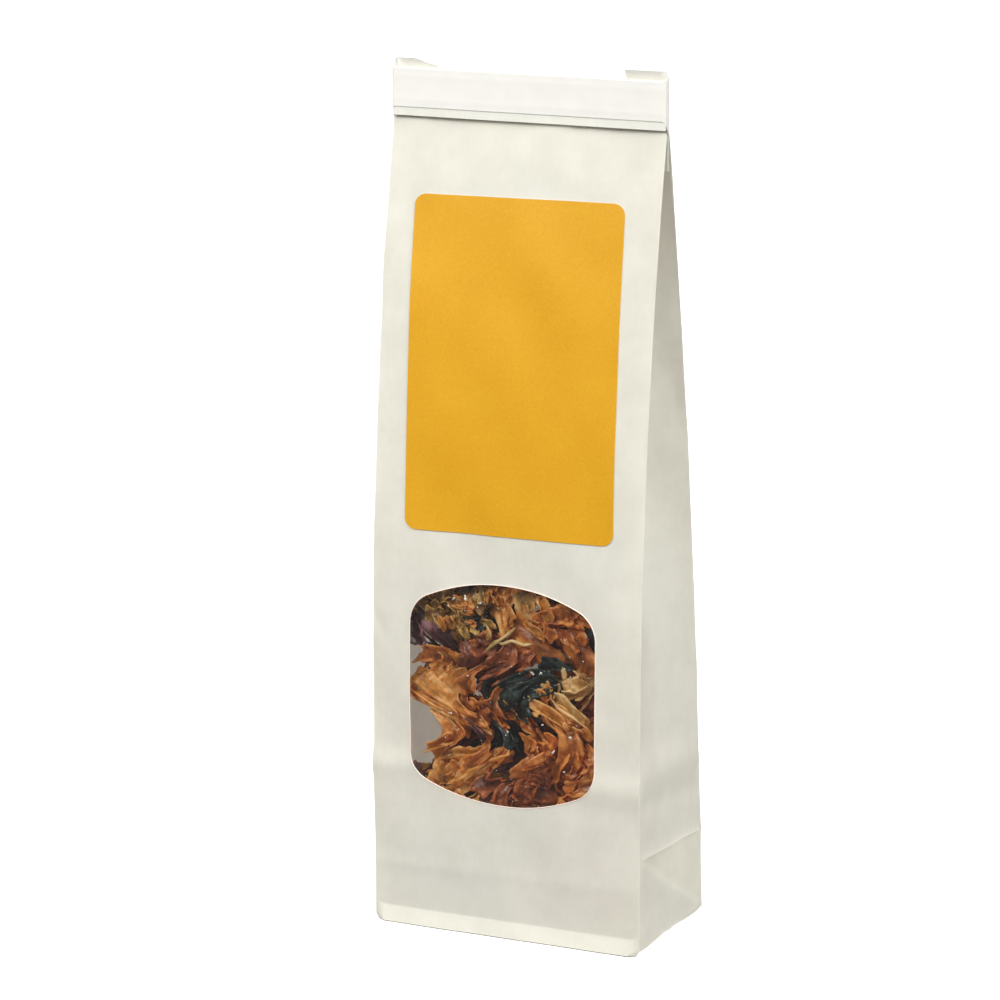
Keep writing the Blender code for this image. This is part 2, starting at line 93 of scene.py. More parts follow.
TIE_HEIGHT = 10.4 * MM
TIE_LIP = 2.4 * MM
TIE_OFF = 0.11 * MM  # from the paper to the middle of the tie's two skins
TIE_HALF = 0.07 * MM
WIRE_RADIUS = 0.06 * MM  # thinner than the real wires, so that the tie stays as flat as it looks
TIE_BEND = 1.0 * MM
TAB_LENGTH = 12.5 * MM
TAB_DROP = 3.6 * MM
TAB_RISE = 2.7 * MM
TAB_LEAN = 0.45  # how far the tabs lean forward over the mouth for each step up
WIRE_INSET = 2.0 * MM
TIE_CREASES = (38.6 * MM, 37.9 * MM)  # two fine creases, this far left of the middle

RIM_RADIUS = 0.13 * MM
SEAM_HALF = 7 * MM
FOLD_BEHIND = 0.6 * MM  # from the sides to the block bottom's folded-in corners

FILL_BASE = 4 * MM
FILL_TOP = 124 * MM
FILL_HALF_WIDTH = 37.5 * MM
WALL_CLEARANCE = 2.0 * MM
SIDE_CLEARANCE = 2.2 * MM
FILL_DEPTH = DEPTH - 2 * WALL_CLEARANCE


def smooth(share):
    """0 below 0, 1 above 1, and a smooth step between."""
    share = np.clip(share, 0, 1)
    return share * share * (3 - 2 * share)


def ridge(distance, width):
    """1 on a fold line, falling off to both sides with the distance over width, sharp at the line itself."""
    return np.exp(-np.abs(distance) / width)


def hill(distance, width):
    """1 at no distance and a smooth bell around it."""
    return np.exp(-((distance / width) ** 2))


def tent(distance, width):
    """1 on a fold line, and straight flanks that end at width on both sides."""
    return np.clip(1 - np.abs(distance) / width, 0, 1)


def mix(first, second, share):
    """The value that lies share of the way from first to second."""
    return first + (second - first) * share


# Meshes


def new_piece(name, points, faces, materials, slots=None, values=None, crease=None):
    """A smooth-shaded mesh object that rides on the part. slots gives each face's material, values are named
    numbers kept for each point, and edges that turn by more than crease stay sharp."""
    mesh = bpy.data.meshes.new(name)
    mesh.from_pydata(points.tolist(), [], faces if isinstance(faces, list) else faces.tolist())
    for finish in materials:
        mesh.materials.append(finish)
    if slots is not None:
        mesh.polygons.foreach_set("material_index", np.asarray(slots, np.int32))
    for key, numbers in (values or {}).items():
        attribute = mesh.attributes.new(key, "FLOAT", "POINT")
        attribute.data.foreach_set("value", np.asarray(numbers, np.float32))
    mesh.update()
    mesh.shade_smooth()
    if crease:
        mesh.set_sharp_from_angle(angle=crease)
    piece = bpy.data.objects.new(name, mesh)
    bpy.context.scene.collection.objects.link(piece)
    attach(piece, "root")
    return piece


def grid_faces(rows, columns, closed=False):
    """Quads of a grid whose points run row by row. A closed grid joins its last column to its first."""
    across = columns if closed else columns - 1
    row, column = np.meshgrid(np.arange(rows - 1), np.arange(across), indexing="ij")
    beside = (column + 1) % columns
    corners = [row * columns + column, row * columns + beside]
    corners += [(row + 1) * columns + beside, (row + 1) * columns + column]
    return np.stack(corners, -1).reshape(-1, 4)


def point_normals(points, faces):
    """Unit normals: the sum of the cross products of the diagonals of each point's quads."""
    a, b, c, d = (points[faces[:, k]] for k in range(4))
    across = np.cross(c - a, d - b)
    total = np.zeros_like(points)
    for k in range(4):
        np.add.at(total, faces[:, k], across)
    return total / np.maximum(np.linalg.norm(total, axis=1, keepdims=True), 1e-12)


def border(faces):
    """The directed edges that belong to one quad only."""
    edges = np.concatenate([faces[:, [k, (k + 1) % 4]] for k in range(4)])
    edges = edges[edges[:, 0] != edges[:, 1]]
    key = np.sort(edges, axis=1)
    _, where, counts = np.unique(key, axis=0, return_inverse=True, return_counts=True)
    return edges[counts[where.ravel()] == 1]


def thicken(points, faces, thickness, share_out=0.0):
    """A closed wall from a sheet: the sheet moved out along its normals by share_out of the thickness, its
    copy moved in by the rest, and quads that join their borders. Returns points, faces and which are rim."""
    normals = point_normals(points, faces)
    thickness = np.broadcast_to(thickness, len(points))[:, None]
    outer = points + normals * thickness * share_out
    inner = points - normals * thickness * (1 - share_out)
    edges = border(faces)
    count = len(points)
    rim = np.stack([edges[:, 1], edges[:, 0], edges[:, 0] + count, edges[:, 1] + count], -1)
    whole = np.concatenate([faces, faces[:, ::-1] + count, rim])
    is_rim = np.zeros(len(whole), bool)
    is_rim[len(whole) - len(rim) :] = True
    return np.concatenate([outer, inner]), whole, is_rim


def eased(count, pull=0.8):
    """count + 1 steps from 0 to 1, packed towards both ends: t - pull * sin(2 pi t) / (2 pi)."""
    t = np.linspace(0, 1, count + 1)
    return t - pull * np.sin(TURN * t) / TURN


TUBE_SIDES = 8


def rings_round(middle, first, second, radius):
    """Rings of points round a line: middle + radius * (cos * first + sin * second)."""
    around = np.linspace(0, TURN, TUBE_SIDES, endpoint=False)[None, :, None]
    return middle[:, None] + radius * (np.cos(around) * first[:, None] + np.sin(around) * second[:, None])


def capped_tube(count):
    """The faces of a tube of count rings, closed at both ends."""
    start = list(range(TUBE_SIDES))
    end = [(count - 1) * TUBE_SIDES + k for k in reversed(start)]
    return grid_faces(count, TUBE_SIDES, closed=True).tolist() + [start, end]


# Materials


def linear(hex_colour, alpha=1.0):
    """An sRGB hex colour as linear red, green, blue and alpha."""
    parts = [int(hex_colour[k : k + 2], 16) / 255 for k in (1, 3, 5)]
    return tuple(p / 12.92 if p <= 0.04045 else ((p + 0.055) / 1.055) ** 2.4 for p in parts) + (alpha,)


def add(tree, kind, settings=None, links=None, stops=None):
    """Adds one node. settings: its properties by attribute name, or its sockets' values by their name or
    number. links: the outputs that feed its sockets. stops: a ramp's places and colours."""
    node = tree.nodes.new(kind)
    for key, value in (settings or {}).items():
        if isinstance(key, str) and hasattr(node, key):
            setattr(node, key, value)
        else:
            node.inputs[key].default_value = value
    for key, output in (links or {}).items():
        tree.links.new(output, node.inputs[key])
    if stops:
        elements = node.color_ramp.elements
        for element, (place, shade) in zip((elements[0], elements[1]), (stops[0], stops[-1])):
            element.position = place
            element.color = shade
        for place, shade in stops[1:-1]:
            elements.new(place).color = shade
    return node


def new_material(name):
    """A material with an empty tree and its output node."""
    finish = bpy.data.materials.new(name)
    finish.use_nodes = True
    finish.node_tree.nodes.clear()
    return finish, finish.node_tree, add(finish.node_tree, "ShaderNodeOutputMaterial")


def bleached_kraft(name, pale, deep, through, grain_share):
    """Bleached kraft paper, machine glazed: short fibres lie mostly upright, so the eye sees soft clouds,
    a faint upright grain and a dull sheen, and strong light glows through. The grain is drawn a millimetre
    wide, because the real fibres are too fine to show."""
    finish, tree, out = new_material(name)
    place = add(tree, "ShaderNodeTexCoord").outputs["Object"]
    clouds = add(
        tree,
        "ShaderNodeTexNoise",
        {"Scale": 1 / (9 * MM), "Detail": 4, "Roughness": 0.6},
        {"Vector": place},
    )
    grain_place = add(tree, "ShaderNodeMapping", {"Scale": (1, 1, 0.3)}, {"Vector": place})
    grain = add(
        tree,
        "ShaderNodeTexNoise",
        {"Scale": 1 / (1.1 * MM), "Detail": 3},
        {"Vector": grain_place.outputs["Vector"]},
    )
    blend = add(
        tree,
        "ShaderNodeMath",
        {"operation": "MULTIPLY_ADD", 1: grain_share},
        {0: grain.outputs["Fac"], 2: clouds.outputs["Fac"]},
    )
    shade = add(
        tree,
        "ShaderNodeValToRGB",
        None,
        {"Fac": blend.outputs["Value"]},
        [(0.3 + grain_share * 0.3, linear(deep)), (0.65 + grain_share * 0.7, linear(pale))],
    )
    bump = add(
        tree, "ShaderNodeBump", {"Strength": 0.15, "Distance": 0.05 * MM}, {"Height": blend.outputs["Value"]}
    )
    face = add(
        tree,
        "ShaderNodeBsdfPrincipled",
        {"Roughness": 0.62, "Specular IOR Level": 0.35},
        {"Base Color": shade.outputs["Color"], "Normal": bump.outputs["Normal"]},
    )
    glow = add(tree, "ShaderNodeBsdfTranslucent", None, {"Color": shade.outputs["Color"]})
    both = add(tree, "ShaderNodeMixShader", {"Fac": through}, {1: face.outputs[0], 2: glow.outputs[0]})
    tree.links.new(both.outputs[0], out.inputs["Surface"])
    return finish


def cut_kraft():
    """The paper's die-cut edge: open fibre, a touch warmer than its face, with no glaze."""
    finish, tree, out = new_material("cut_kraft_edge")
    place = add(tree, "ShaderNodeTexCoord").outputs["Object"]
    specks = add(tree, "ShaderNodeTexNoise", {"Scale": 1 / (0.5 * MM), "Detail": 2}, {"Vector": place})
    shade = add(
        tree,
        "ShaderNodeValToRGB",
        None,
        {"Fac": specks.outputs["Fac"]},
        [(0.3, linear("#F3D9C8")), (0.7, linear("#FBEFE4"))],
    )
    face = add(tree, "ShaderNodeBsdfPrincipled", {"Roughness": 0.8}, {"Base Color": shade.outputs["Color"]})
    tree.links.new(face.outputs[0], out.inputs["Surface"])
    return finish


def satin_label_paper():
    """Offset-printed label paper with a satin varnish: solid orange ink and a soft sheen. The ink's screen is
    drawn 0.45 mm wide, coarser than the real one, so that it shows."""
    finish, tree, out = new_material("satin_label_paper")
    place = add(tree, "ShaderNodeTexCoord").outputs["Object"]
    screen = add(tree, "ShaderNodeTexNoise", {"Scale": 1 / (0.45 * MM), "Detail": 2}, {"Vector": place})
    clouds = add(tree, "ShaderNodeTexNoise", {"Scale": 1 / (16 * MM), "Detail": 2}, {"Vector": place})
    blend = add(
        tree,
        "ShaderNodeMath",
        {"operation": "MULTIPLY_ADD", 1: 0.5},
        {0: clouds.outputs["Fac"], 2: screen.outputs["Fac"]},
    )
    shade = add(
        tree,
        "ShaderNodeValToRGB",
        None,
        {"Fac": blend.outputs["Value"]},
        [(0.5, linear("#D0950C")), (1.0, linear("#DAA31C"))],
    )
    bump = add(
        tree, "ShaderNodeBump", {"Strength": 0.12, "Distance": 0.03 * MM}, {"Height": screen.outputs["Fac"]}
    )
    face = add(
        tree,
        "ShaderNodeBsdfPrincipled",
        {"Roughness": 0.42, "Specular IOR Level": 0.35, "Coat Weight": 0.15, "Coat Roughness": 0.3},
        {"Base Color": shade.outputs["Color"], "Normal": bump.outputs["Normal"]},
    )
    tree.links.new(face.outputs[0], out.inputs["Surface"])
    return finish


def laminated_tie():
    """The tie's sleeve: white paper laminated with film, smoother than the bag, with a low gloss."""
    finish, tree, out = new_material("laminated_tie_paper")
    place = add(tree, "ShaderNodeTexCoord").outputs["Object"]
    clouds = add(tree, "ShaderNodeTexNoise", {"Scale": 1 / (5 * MM), "Detail": 3}, {"Vector": place})
    shade = add(
        tree,
        "ShaderNodeValToRGB",
        None,
        {"Fac": clouds.outputs["Fac"]},
        [(0.3, linear("#EEECE5")), (0.7, linear("#F2F0E9"))],
    )
    bump = add(
        tree, "ShaderNodeBump", {"Strength": 0.3, "Distance": 0.12 * MM}, {"Height": clouds.outputs["Fac"]}
    )
    face = add(
        tree,
        "ShaderNodeBsdfPrincipled",
        {"Roughness": 0.45, "Specular IOR Level": 0.4},
        {"Base Color": shade.outputs["Color"], "Normal": bump.outputs["Normal"]},
    )
    glow = add(tree, "ShaderNodeBsdfTranslucent", None, {"Color": shade.outputs["Color"]})
    both = add(tree, "ShaderNodeMixShader", {"Fac": 0.03}, {1: face.outputs[0], 2: glow.outputs[0]})
    tree.links.new(both.outputs[0], out.inputs["Surface"])
    return finish


def galvanised_wire():
    """Drawn and galvanised steel wire: grey, with fine marks along it."""
    finish, tree, out = new_material("galvanised_wire")
    place = add(tree, "ShaderNodeTexCoord").outputs["Object"]
    marks = add(tree, "ShaderNodeTexNoise", {"Scale": 1 / (0.3 * MM), "Detail": 2}, {"Vector": place})
    rough = add(
        tree, "ShaderNodeMapRange", {"To Min": 0.3, "To Max": 0.5}, {"Value": marks.outputs["Fac"]}
    )
    face = add(
        tree,
        "ShaderNodeBsdfPrincipled",
        {"Base Color": linear("#C2C4C6"), "Metallic": 1.0},
        {"Roughness": rough.outputs["Result"]},
    )
    tree.links.new(face.outputs[0], out.inputs["Surface"])
    return finish


def clear_film():
    """Clear polypropylene film: nearly all light goes straight through, and a little is mirrored. Each face
    mirrors 4% head on and more at a slant, by Schlick's rule, which veils the darks behind it."""
    finish, tree, out = new_material("clear_polypropylene_film")
    place = add(tree, "ShaderNodeTexCoord").outputs["Object"]
    waves = add(tree, "ShaderNodeTexNoise", {"Scale": 1 / (14 * MM), "Detail": 1}, {"Vector": place})
    bump = add(
        tree, "ShaderNodeBump", {"Strength": 0.4, "Distance": 0.6 * MM}, {"Height": waves.outputs["Fac"]}
    )
    mirror = add(tree, "ShaderNodeBsdfGlossy", {"Roughness": 0.05}, {"Normal": bump.outputs["Normal"]})
    clear = add(tree, "ShaderNodeBsdfTransparent", {"Color": linear("#FDFDFC")})
    slant = add(tree, "ShaderNodeLayerWeight", {"Blend": 0.5})
    slant = add(tree, "ShaderNodeMath", {"operation": "POWER", 1: 5.0}, {0: slant.outputs["Facing"]})
    share = add(
        tree, "ShaderNodeMath", {"operation": "MULTIPLY_ADD", 1: 0.6, 2: 0.04}, {0: slant.outputs["Value"]}
    )
    both = add(
        tree, "ShaderNodeMixShader", None, {0: share.outputs[0], 1: clear.outputs[0], 2: mirror.outputs[0]}
    )
    tree.links.new(both.outputs[0], out.inputs["Surface"])
    return finish


SEAWEED = {
    "amber": ("#5E2C10", "#C46F24", "#F8B860"),
    "honey": ("#784012", "#E09A3C", "#FFD890"),
    "russet": ("#4A2010", "#984B20", "#D88448"),
    "plum": ("#261412", "#5C3032", "#B88488"),
    "olive": ("#34240E", "#94682A", "#F0CC78"),
    "bottle": ("#0A100D", "#18241F", "#44564E"),
    "straw": ("#8A6428", "#D8AC60", "#FFE8B4"),
}


def dried_frond(name, deep, body, pale):
    """Dried seaweed, a horny gel that shrank as it dried: thin rims are half clear and glow, thick parts are
    dark, and a gloss lies on every wrinkle. Rims and tips are paler than the middle, partly the thin gel's own
    lighter tone and partly a painted highlight for the light that thin edges catch."""
    finish, tree, out = new_material("dried_" + name)
    place = add(tree, "ShaderNodeTexCoord").outputs["Object"]
    patches = add(tree, "ShaderNodeTexNoise", {"Scale": 1 / (6 * MM), "Detail": 2}, {"Vector": place})
    mottle = add(
        tree,
        "ShaderNodeTexNoise",
        {"Scale": 1 / (1.3 * MM), "Detail": 3, "Distortion": 0.6},
        {"Vector": place},
    )
    rim = add(tree, "ShaderNodeAttribute", {"attribute_name": "rim"})
    uneven = add(
        tree,
        "ShaderNodeMath",
        {"operation": "MULTIPLY_ADD", 1: 0.4},
        {0: mottle.outputs["Fac"], 2: patches.outputs["Fac"]},
    )
    # The rim value makes rims and tips paler: partly the thin gel's own tone, partly a painted highlight where
    # thin edges catch the light.
    toned = add(
        tree,
        "ShaderNodeMath",
        {"operation": "MULTIPLY_ADD", 1: 0.25},
        {0: rim.outputs["Fac"], 2: uneven.outputs["Value"]},
    )
    shade = add(
        tree,
        "ShaderNodeValToRGB",
        None,
        {"Fac": toned.outputs["Value"]},
        [(0.47, linear(deep)), (0.80, linear(body)), (1.02, linear(pale))],
    )
    wrinkles = add(
        tree,
        "ShaderNodeTexNoise",
        {"Scale": 1 / (0.9 * MM), "Detail": 3, "Distortion": 1.2},
        {"Vector": place},
    )
    bump = add(
        tree, "ShaderNodeBump", {"Strength": 0.8, "Distance": 0.35 * MM}, {"Height": wrinkles.outputs["Fac"]}
    )
    face = add(
        tree,
        "ShaderNodeBsdfPrincipled",
        {"Roughness": 0.3, "Specular IOR Level": 0.5, "Coat Weight": 0.4, "Coat Roughness": 0.12},
        {"Base Color": shade.outputs["Color"], "Normal": bump.outputs["Normal"]},
    )
    glow = add(tree, "ShaderNodeBsdfTranslucent", None, {"Color": shade.outputs["Color"]})
    gel = add(tree, "ShaderNodeMixShader", {"Fac": 0.45}, {1: face.outputs[0], 2: glow.outputs[0]})
    clear = add(tree, "ShaderNodeBsdfTransparent", {"Color": linear(pale)})
    thin = add(tree, "ShaderNodeMath", {"operation": "POWER", 1: 2.0}, {0: rim.outputs["Fac"]})
    thin = add(tree, "ShaderNodeMath", {"operation": "MULTIPLY", 1: 0.3}, {0: thin.outputs["Value"]})
    shaders = {0: thin.outputs[0], 1: gel.outputs[0], 2: clear.outputs[0]}
    both = add(tree, "ShaderNodeMixShader", None, shaders)
    tree.links.new(both.outputs[0], out.inputs["Surface"])
    return finish


def salt_and_painted_glint():
    """Sea salt left on the fronds: clear white grains that glint, and at the bright glints white grains that
    are painted highlights.
    """
    finish, tree, out = new_material("salt_and_painted_glint")
    place = add(tree, "ShaderNodeTexCoord").outputs["Object"]
    frost = add(tree, "ShaderNodeTexNoise", {"Scale": 1 / (0.2 * MM), "Detail": 1}, {"Vector": place})
    rough = add(
        tree, "ShaderNodeMapRange", {"To Min": 0.05, "To Max": 0.4}, {"Value": frost.outputs["Fac"]}
    )
    face = add(
        tree,
        "ShaderNodeBsdfPrincipled",
        {"Base Color": linear("#F6F1EA"), "Specular IOR Level": 0.8},
        {"Roughness": rough.outputs["Result"]},
    )
    tree.links.new(face.outputs[0], out.inputs["Surface"])
    return finish


# The bag's outer form


def front_y(z):
    """Depth of the front panel: upright, then a parabola leaning back to the neck."""
    lean = np.clip((z - BELLY_START) / (FLAP_END - BELLY_START), 0, 1) ** 2
    return -DEPTH / 2 + (NECK_MIDDLE - NECK_THICK / 2 + DEPTH / 2) * lean


def back_y(z):
    """Depth of the back panel: a straight lean to the neck plus a half-sine bulge."""
    rise = np.clip(z / FLAP_END, 0, 1)
    straight = DEPTH / 2 + (NECK_MIDDLE + NECK_THICK / 2 - DEPTH / 2) * rise
    return straight + BACK_BULGE * np.sin(np.pi * rise)


def gusset_inset(z):
    """How far a side fold reaches in: each half keeps its paper's length as the bag narrows."""
    half_paper = DEPTH / 2
    half_gap = np.minimum((back_y(z) - front_y(z)) / 2, half_paper)
    ideal = np.sqrt(half_paper**2 - half_gap**2)
    share = np.clip((z - GUSSET_START) / (GUSSET_FULL - GUSSET_START), 0, 1)
    return ideal * share * share * (3 - 2 * share)


FLARE_TOP = 4.8 * MM  # the lowest strip of the front bends outwards
FLARE_OUT = 1.5 * MM
TUCK = 2.6 * MM  # the flare stops this far from the front's corners, whose foot is lifted
LIFT = 1.6 * MM
# Heights of the two fold lines round the bag, at its front left, front right, back right and back left edges
BLOCK_FOLD = (26.0 * MM, 27.6 * MM, 23.8 * MM, 25.0 * MM)
UPPER_FOLD = (47.6 * MM, 50.6 * MM, 44.5 * MM, 46.0 * MM)
# The same heights for each side: the lower fold at its front and back edges, then the upper one
RIGHT_HEIGHTS = (BLOCK_FOLD[1], BLOCK_FOLD[2], UPPER_FOLD[1], UPPER_FOLD[2])
LEFT_HEIGHTS = (BLOCK_FOLD[0], BLOCK_FOLD[3], UPPER_FOLD[0], UPPER_FOLD[3])
FRONT_FOLD = (17.5 * MM, 18.6 * MM)  # a faint line across the front, at its left and right edges
TRIANGLE_DENT = 1.2 * MM  # how far the slanted fold of the block bottom's side lies in, at its middle
FRONT_BULGE = 46.4 * MM  # the front panel swells here, where the block bottom was creased before filling
PANEL_WAVES = (61 * MM, 43 * MM, 29 * MM, 21 * MM)
SIDE_WAVES = (67 * MM, 37 * MM, 23 * MM)
RIGHT_SEED = 13
LEFT_SEED = 14


def slow_waves(a, z, seed, height, lengths):
    """Sheet undulation: sines of the given lengths in seeded directions, each sharing the height."""
    rng = np.random.default_rng(seed)
    total = np.zeros_like(a)
    for length in lengths:
        heading, shift = rng.uniform(0, TURN, 2)
        total += np.sin(TURN * (a * math.cos(heading) + z * math.sin(heading)) / length + shift)
    return total * height / len(lengths)


def front_relief(x, z):
    """How far the front panel stands out: a flare at the foot, two fold lines, dents and slow waves."""
    across = x / WIDTH + 0.5
    lower = mix(FRONT_FOLD[0], FRONT_FOLD[1], across)
    flare = FLARE_OUT * np.clip(1 - z / FLARE_TOP, 0, 1) * np.clip((WIDTH / 2 - np.abs(x)) / TUCK, 0, 1)
    folds = 0.5 * MM * hill(z - FRONT_BULGE, 4 * MM) + 0.1 * MM * hill(z - lower, 2 * MM)
    above = smooth((z - 205 * MM) / (14 * MM)) * hill(x - 15 * MM, 2.6 * MM)
    label_dent = hill(x + 12 * MM, 5 * MM) * hill(z - 116 * MM, 22 * MM)
    left_dent = hill(x + 38 * MM + (z - 86 * MM) * 0.5, 2 * MM) * hill(z - 86 * MM, 4 * MM)
    faint = hill(x + 6 * MM - (z - 20 * MM) * 0.12, 2.2 * MM) * hill(z - 18 * MM, 9 * MM)
    dents = 0.3 * MM * above + 0.35 * MM * label_dent + 0.3 * MM * left_dent + 0.12 * MM * faint
    return flare + folds - dents + slow_waves(x, z, 11, 0.3 * MM, PANEL_WAVES)


def back_relief(x, z):
    """The back panel: the same two folds, fainter, and slow waves."""
    across = x / WIDTH + 0.5
    lower = mix(BLOCK_FOLD[3], BLOCK_FOLD[2], across)
    upper = mix(UPPER_FOLD[3], UPPER_FOLD[2], across)
    folds = 0.25 * MM * ridge(z - upper, 4 * MM) + 0.2 * MM * ridge(z - lower, 2 * MM)
    return folds + slow_waves(x, z, 12, 0.3 * MM, PANEL_WAVES)


def line_distance(a, z, start, end):
    """Signed distance to the line through two points of a panel, and how far along it as a share."""
    run = (end[0] - start[0], end[1] - start[1])
    length = math.hypot(*run)
    away = ((a - start[0]) * run[1] - (z - start[1]) * run[0]) / length
    along = ((a - start[0]) * run[0] + (z - start[1]) * run[1]) / length**2
    return away, along


def slanted_dent(a):
    """How far in the slanted fold lies: a parabola between the panel's front and back edges."""
    return TRIANGLE_DENT * 4 * (a / DEPTH) * (1 - a / DEPTH)


def side_relief(a, z, seed, heights):
    """A side panel, a from 0 at its front edge to DEPTH at its back edge. The fold line hangs over the block
    bottom's triangle, which leans in down to its slanted fold. From there the paper leans out to the foot. The
    slanted fold has a ridge along it, steep above and flat below, and a faint one runs nearer the front."""
    front_low, back_low, front_up, back_up = heights
    lower = mix(front_low, back_low, a / DEPTH)
    upper = mix(front_up, back_up, a / DEPTH)
    under = lower - z > 1e-5
    slanted = front_low * (1 - a / DEPTH)
    triangle = np.clip((lower - z) / np.maximum(lower - slanted, 0.1 * MM), 0, 1)
    foot = np.clip(z / np.maximum(slanted, 0.1 * MM), 0, 1)
    dent = slanted_dent(a) * np.minimum(triangle, foot)
    away, along = line_distance(a, z, (0.0, front_low), (DEPTH, 0.0))
    step = np.where(away < 0, tent(away, 1.3 * MM), tent(away, 8 * MM))
    first = 0.8 * MM * step * under * smooth((1.02 - along) / 0.1) - dent
    lip = 0.7 * MM * ~under * ridge(z - lower, 1.4 * MM) - 0.25 * MM * under * smooth(a / (10 * MM))
    away, along = line_distance(a, z, (0.0, front_low - 1.5 * MM), (DEPTH * 0.48, 0.0))
    second = 0.25 * MM * tent(away, 1.8 * MM) * under * (along > 0)
    band = 0.9 * MM * hill(z - upper - 1.5 * MM, 5.0 * MM) - 0.4 * MM * hill(z - upper + 8 * MM, 3 * MM)
    scuff = 0.3 * MM * hill(a - DEPTH + 3 * MM + (z - 71 * MM) * 0.8, 1.5 * MM) * hill(z - 71 * MM, 5 * MM)
    waves = slow_waves(a, z, seed, 0.5 * MM, SIDE_WAVES)
    edges = smooth(a / (3 * MM)) * smooth((DEPTH - a) / (3 * MM))
    return (lip + first + second + band - scuff + waves) * edges


def window_outline(steps):
    """The barrel outline, anticlockwise: a crown arc, corner arcs tangent to it, straight sides."""

    def arc(x, z, radius, start, end, count):
        angles = np.linspace(start, end, count)
        return np.stack([x + radius * np.cos(angles), z + radius * np.sin(angles)], -1)

    half = WINDOW_WIDTH / 2
    crown_z = WINDOW_HEIGHT / 2 - CROWN_RADIUS
    corner_x = half - CORNER_RADIUS
    corner_z = crown_z + math.sqrt((CROWN_RADIUS - CORNER_RADIUS) ** 2 - corner_x**2)
    meet = math.atan2(corner_z - crown_z, corner_x)
    side = np.stack([np.full(steps, half), np.linspace(0, corner_z, steps)], -1)[:-1]
    corner = arc(corner_x, corner_z, CORNER_RADIUS, 0, meet, steps)
    crown = arc(0, crown_z, CROWN_RADIUS, meet, math.pi / 2, steps)[1:]
    quarter = np.concatenate([side, corner, crown])
    upper = np.concatenate([quarter, quarter[-2::-1] * (-1, 1)])
    whole = np.concatenate([upper, -upper[1:-1]])
    return whole + (WINDOW_MIDDLE, WINDOW_BASE + WINDOW_HEIGHT / 2)


def nearest_on_outline(points, outline):
    """For each (x, z) point the nearest point of the outline, and whether the point lies outside it."""
    ahead = np.roll(outline, -1, axis=0) - outline
    apart = np.linalg.norm(points[:, None] - outline[None], axis=2)
    index = apart.argmin(1)
    to_point = points - outline[index]
    tangent = ahead[index] / np.linalg.norm(ahead[index], axis=1, keepdims=True)
    side = tangent[:, 0] * to_point[:, 1] - tangent[:, 1] * to_point[:, 0]
    return outline[index] + tangent * (to_point * tangent).sum(1, keepdims=True), side < 0


FOLD_SOFTNESS = 0.06  # how round the folded side is low down


def fold_share(a, z):
    """How far in the folded side is at a, from 0 at its edges to 1 at the fold. Low down the fold is round, a
    hyperbola; towards the mouth it is sharp."""
    inner = a / DEPTH * 2 - 1
    rounded = math.sqrt(1 + FOLD_SOFTNESS) - np.sqrt(inner**2 + FOLD_SOFTNESS)
    return mix(rounded, 1 - np.abs(inner), smooth((z - 110 * MM) / (70 * MM)))


FRONT_COLUMNS = 66
SIDE_COLUMNS = 26
BACK_COLUMNS = 40
ROW_COUNTS = (6, 28, 20, 108, 4)  # between the foot, the flare's top, the two folds, the mouth and the end
# The corners round the bag, each one the start of the panel that runs on from it
FRONT, RIGHT_FRONT, RIGHT_BACK, BACK, LEFT_BACK, LEFT_FRONT = range(6)


def shell_columns():
    """For each column round the bag: the corner it starts from, and its share of the way to the next one.
    The corners run front left, front right, right fold, back right, back left, left fold."""
    counts = (FRONT_COLUMNS, SIDE_COLUMNS, SIDE_COLUMNS, BACK_COLUMNS, SIDE_COLUMNS, SIDE_COLUMNS)
    corner = np.concatenate([np.full(count, k) for k, count in enumerate(counts)])
    share = np.concatenate([eased(count)[:-1] for count in counts])
    return corner, share


def shell_rows(corner, share):
    """Heights of the rows of each column, packed towards the fold lines, which slant round the bag."""
    ends = np.array([0, 1, 1.5, 2, 3, 3.5])
    after = np.array([1, 1.5, 2, 3, 3.5, 4])
    around = mix(ends[corner], after[corner], share)
    block = np.interp(around, range(5), BLOCK_FOLD + BLOCK_FOLD[:1])
    upper = np.interp(around, range(5), UPPER_FOLD + UPPER_FOLD[:1])
    levels = [np.zeros_like(around), np.full_like(around, FLARE_TOP), block, upper]
    levels += [np.full_like(around, FLAP_END), np.full_like(around, SHELL_TOP)]
    rows = [levels[0][None]]
    for low, high, count in zip(levels, levels[1:], ROW_COUNTS):
        steps = eased(count, 0.6)[1:, None]
        rows.append(low + (high - low) * steps)
    return np.concatenate(rows)


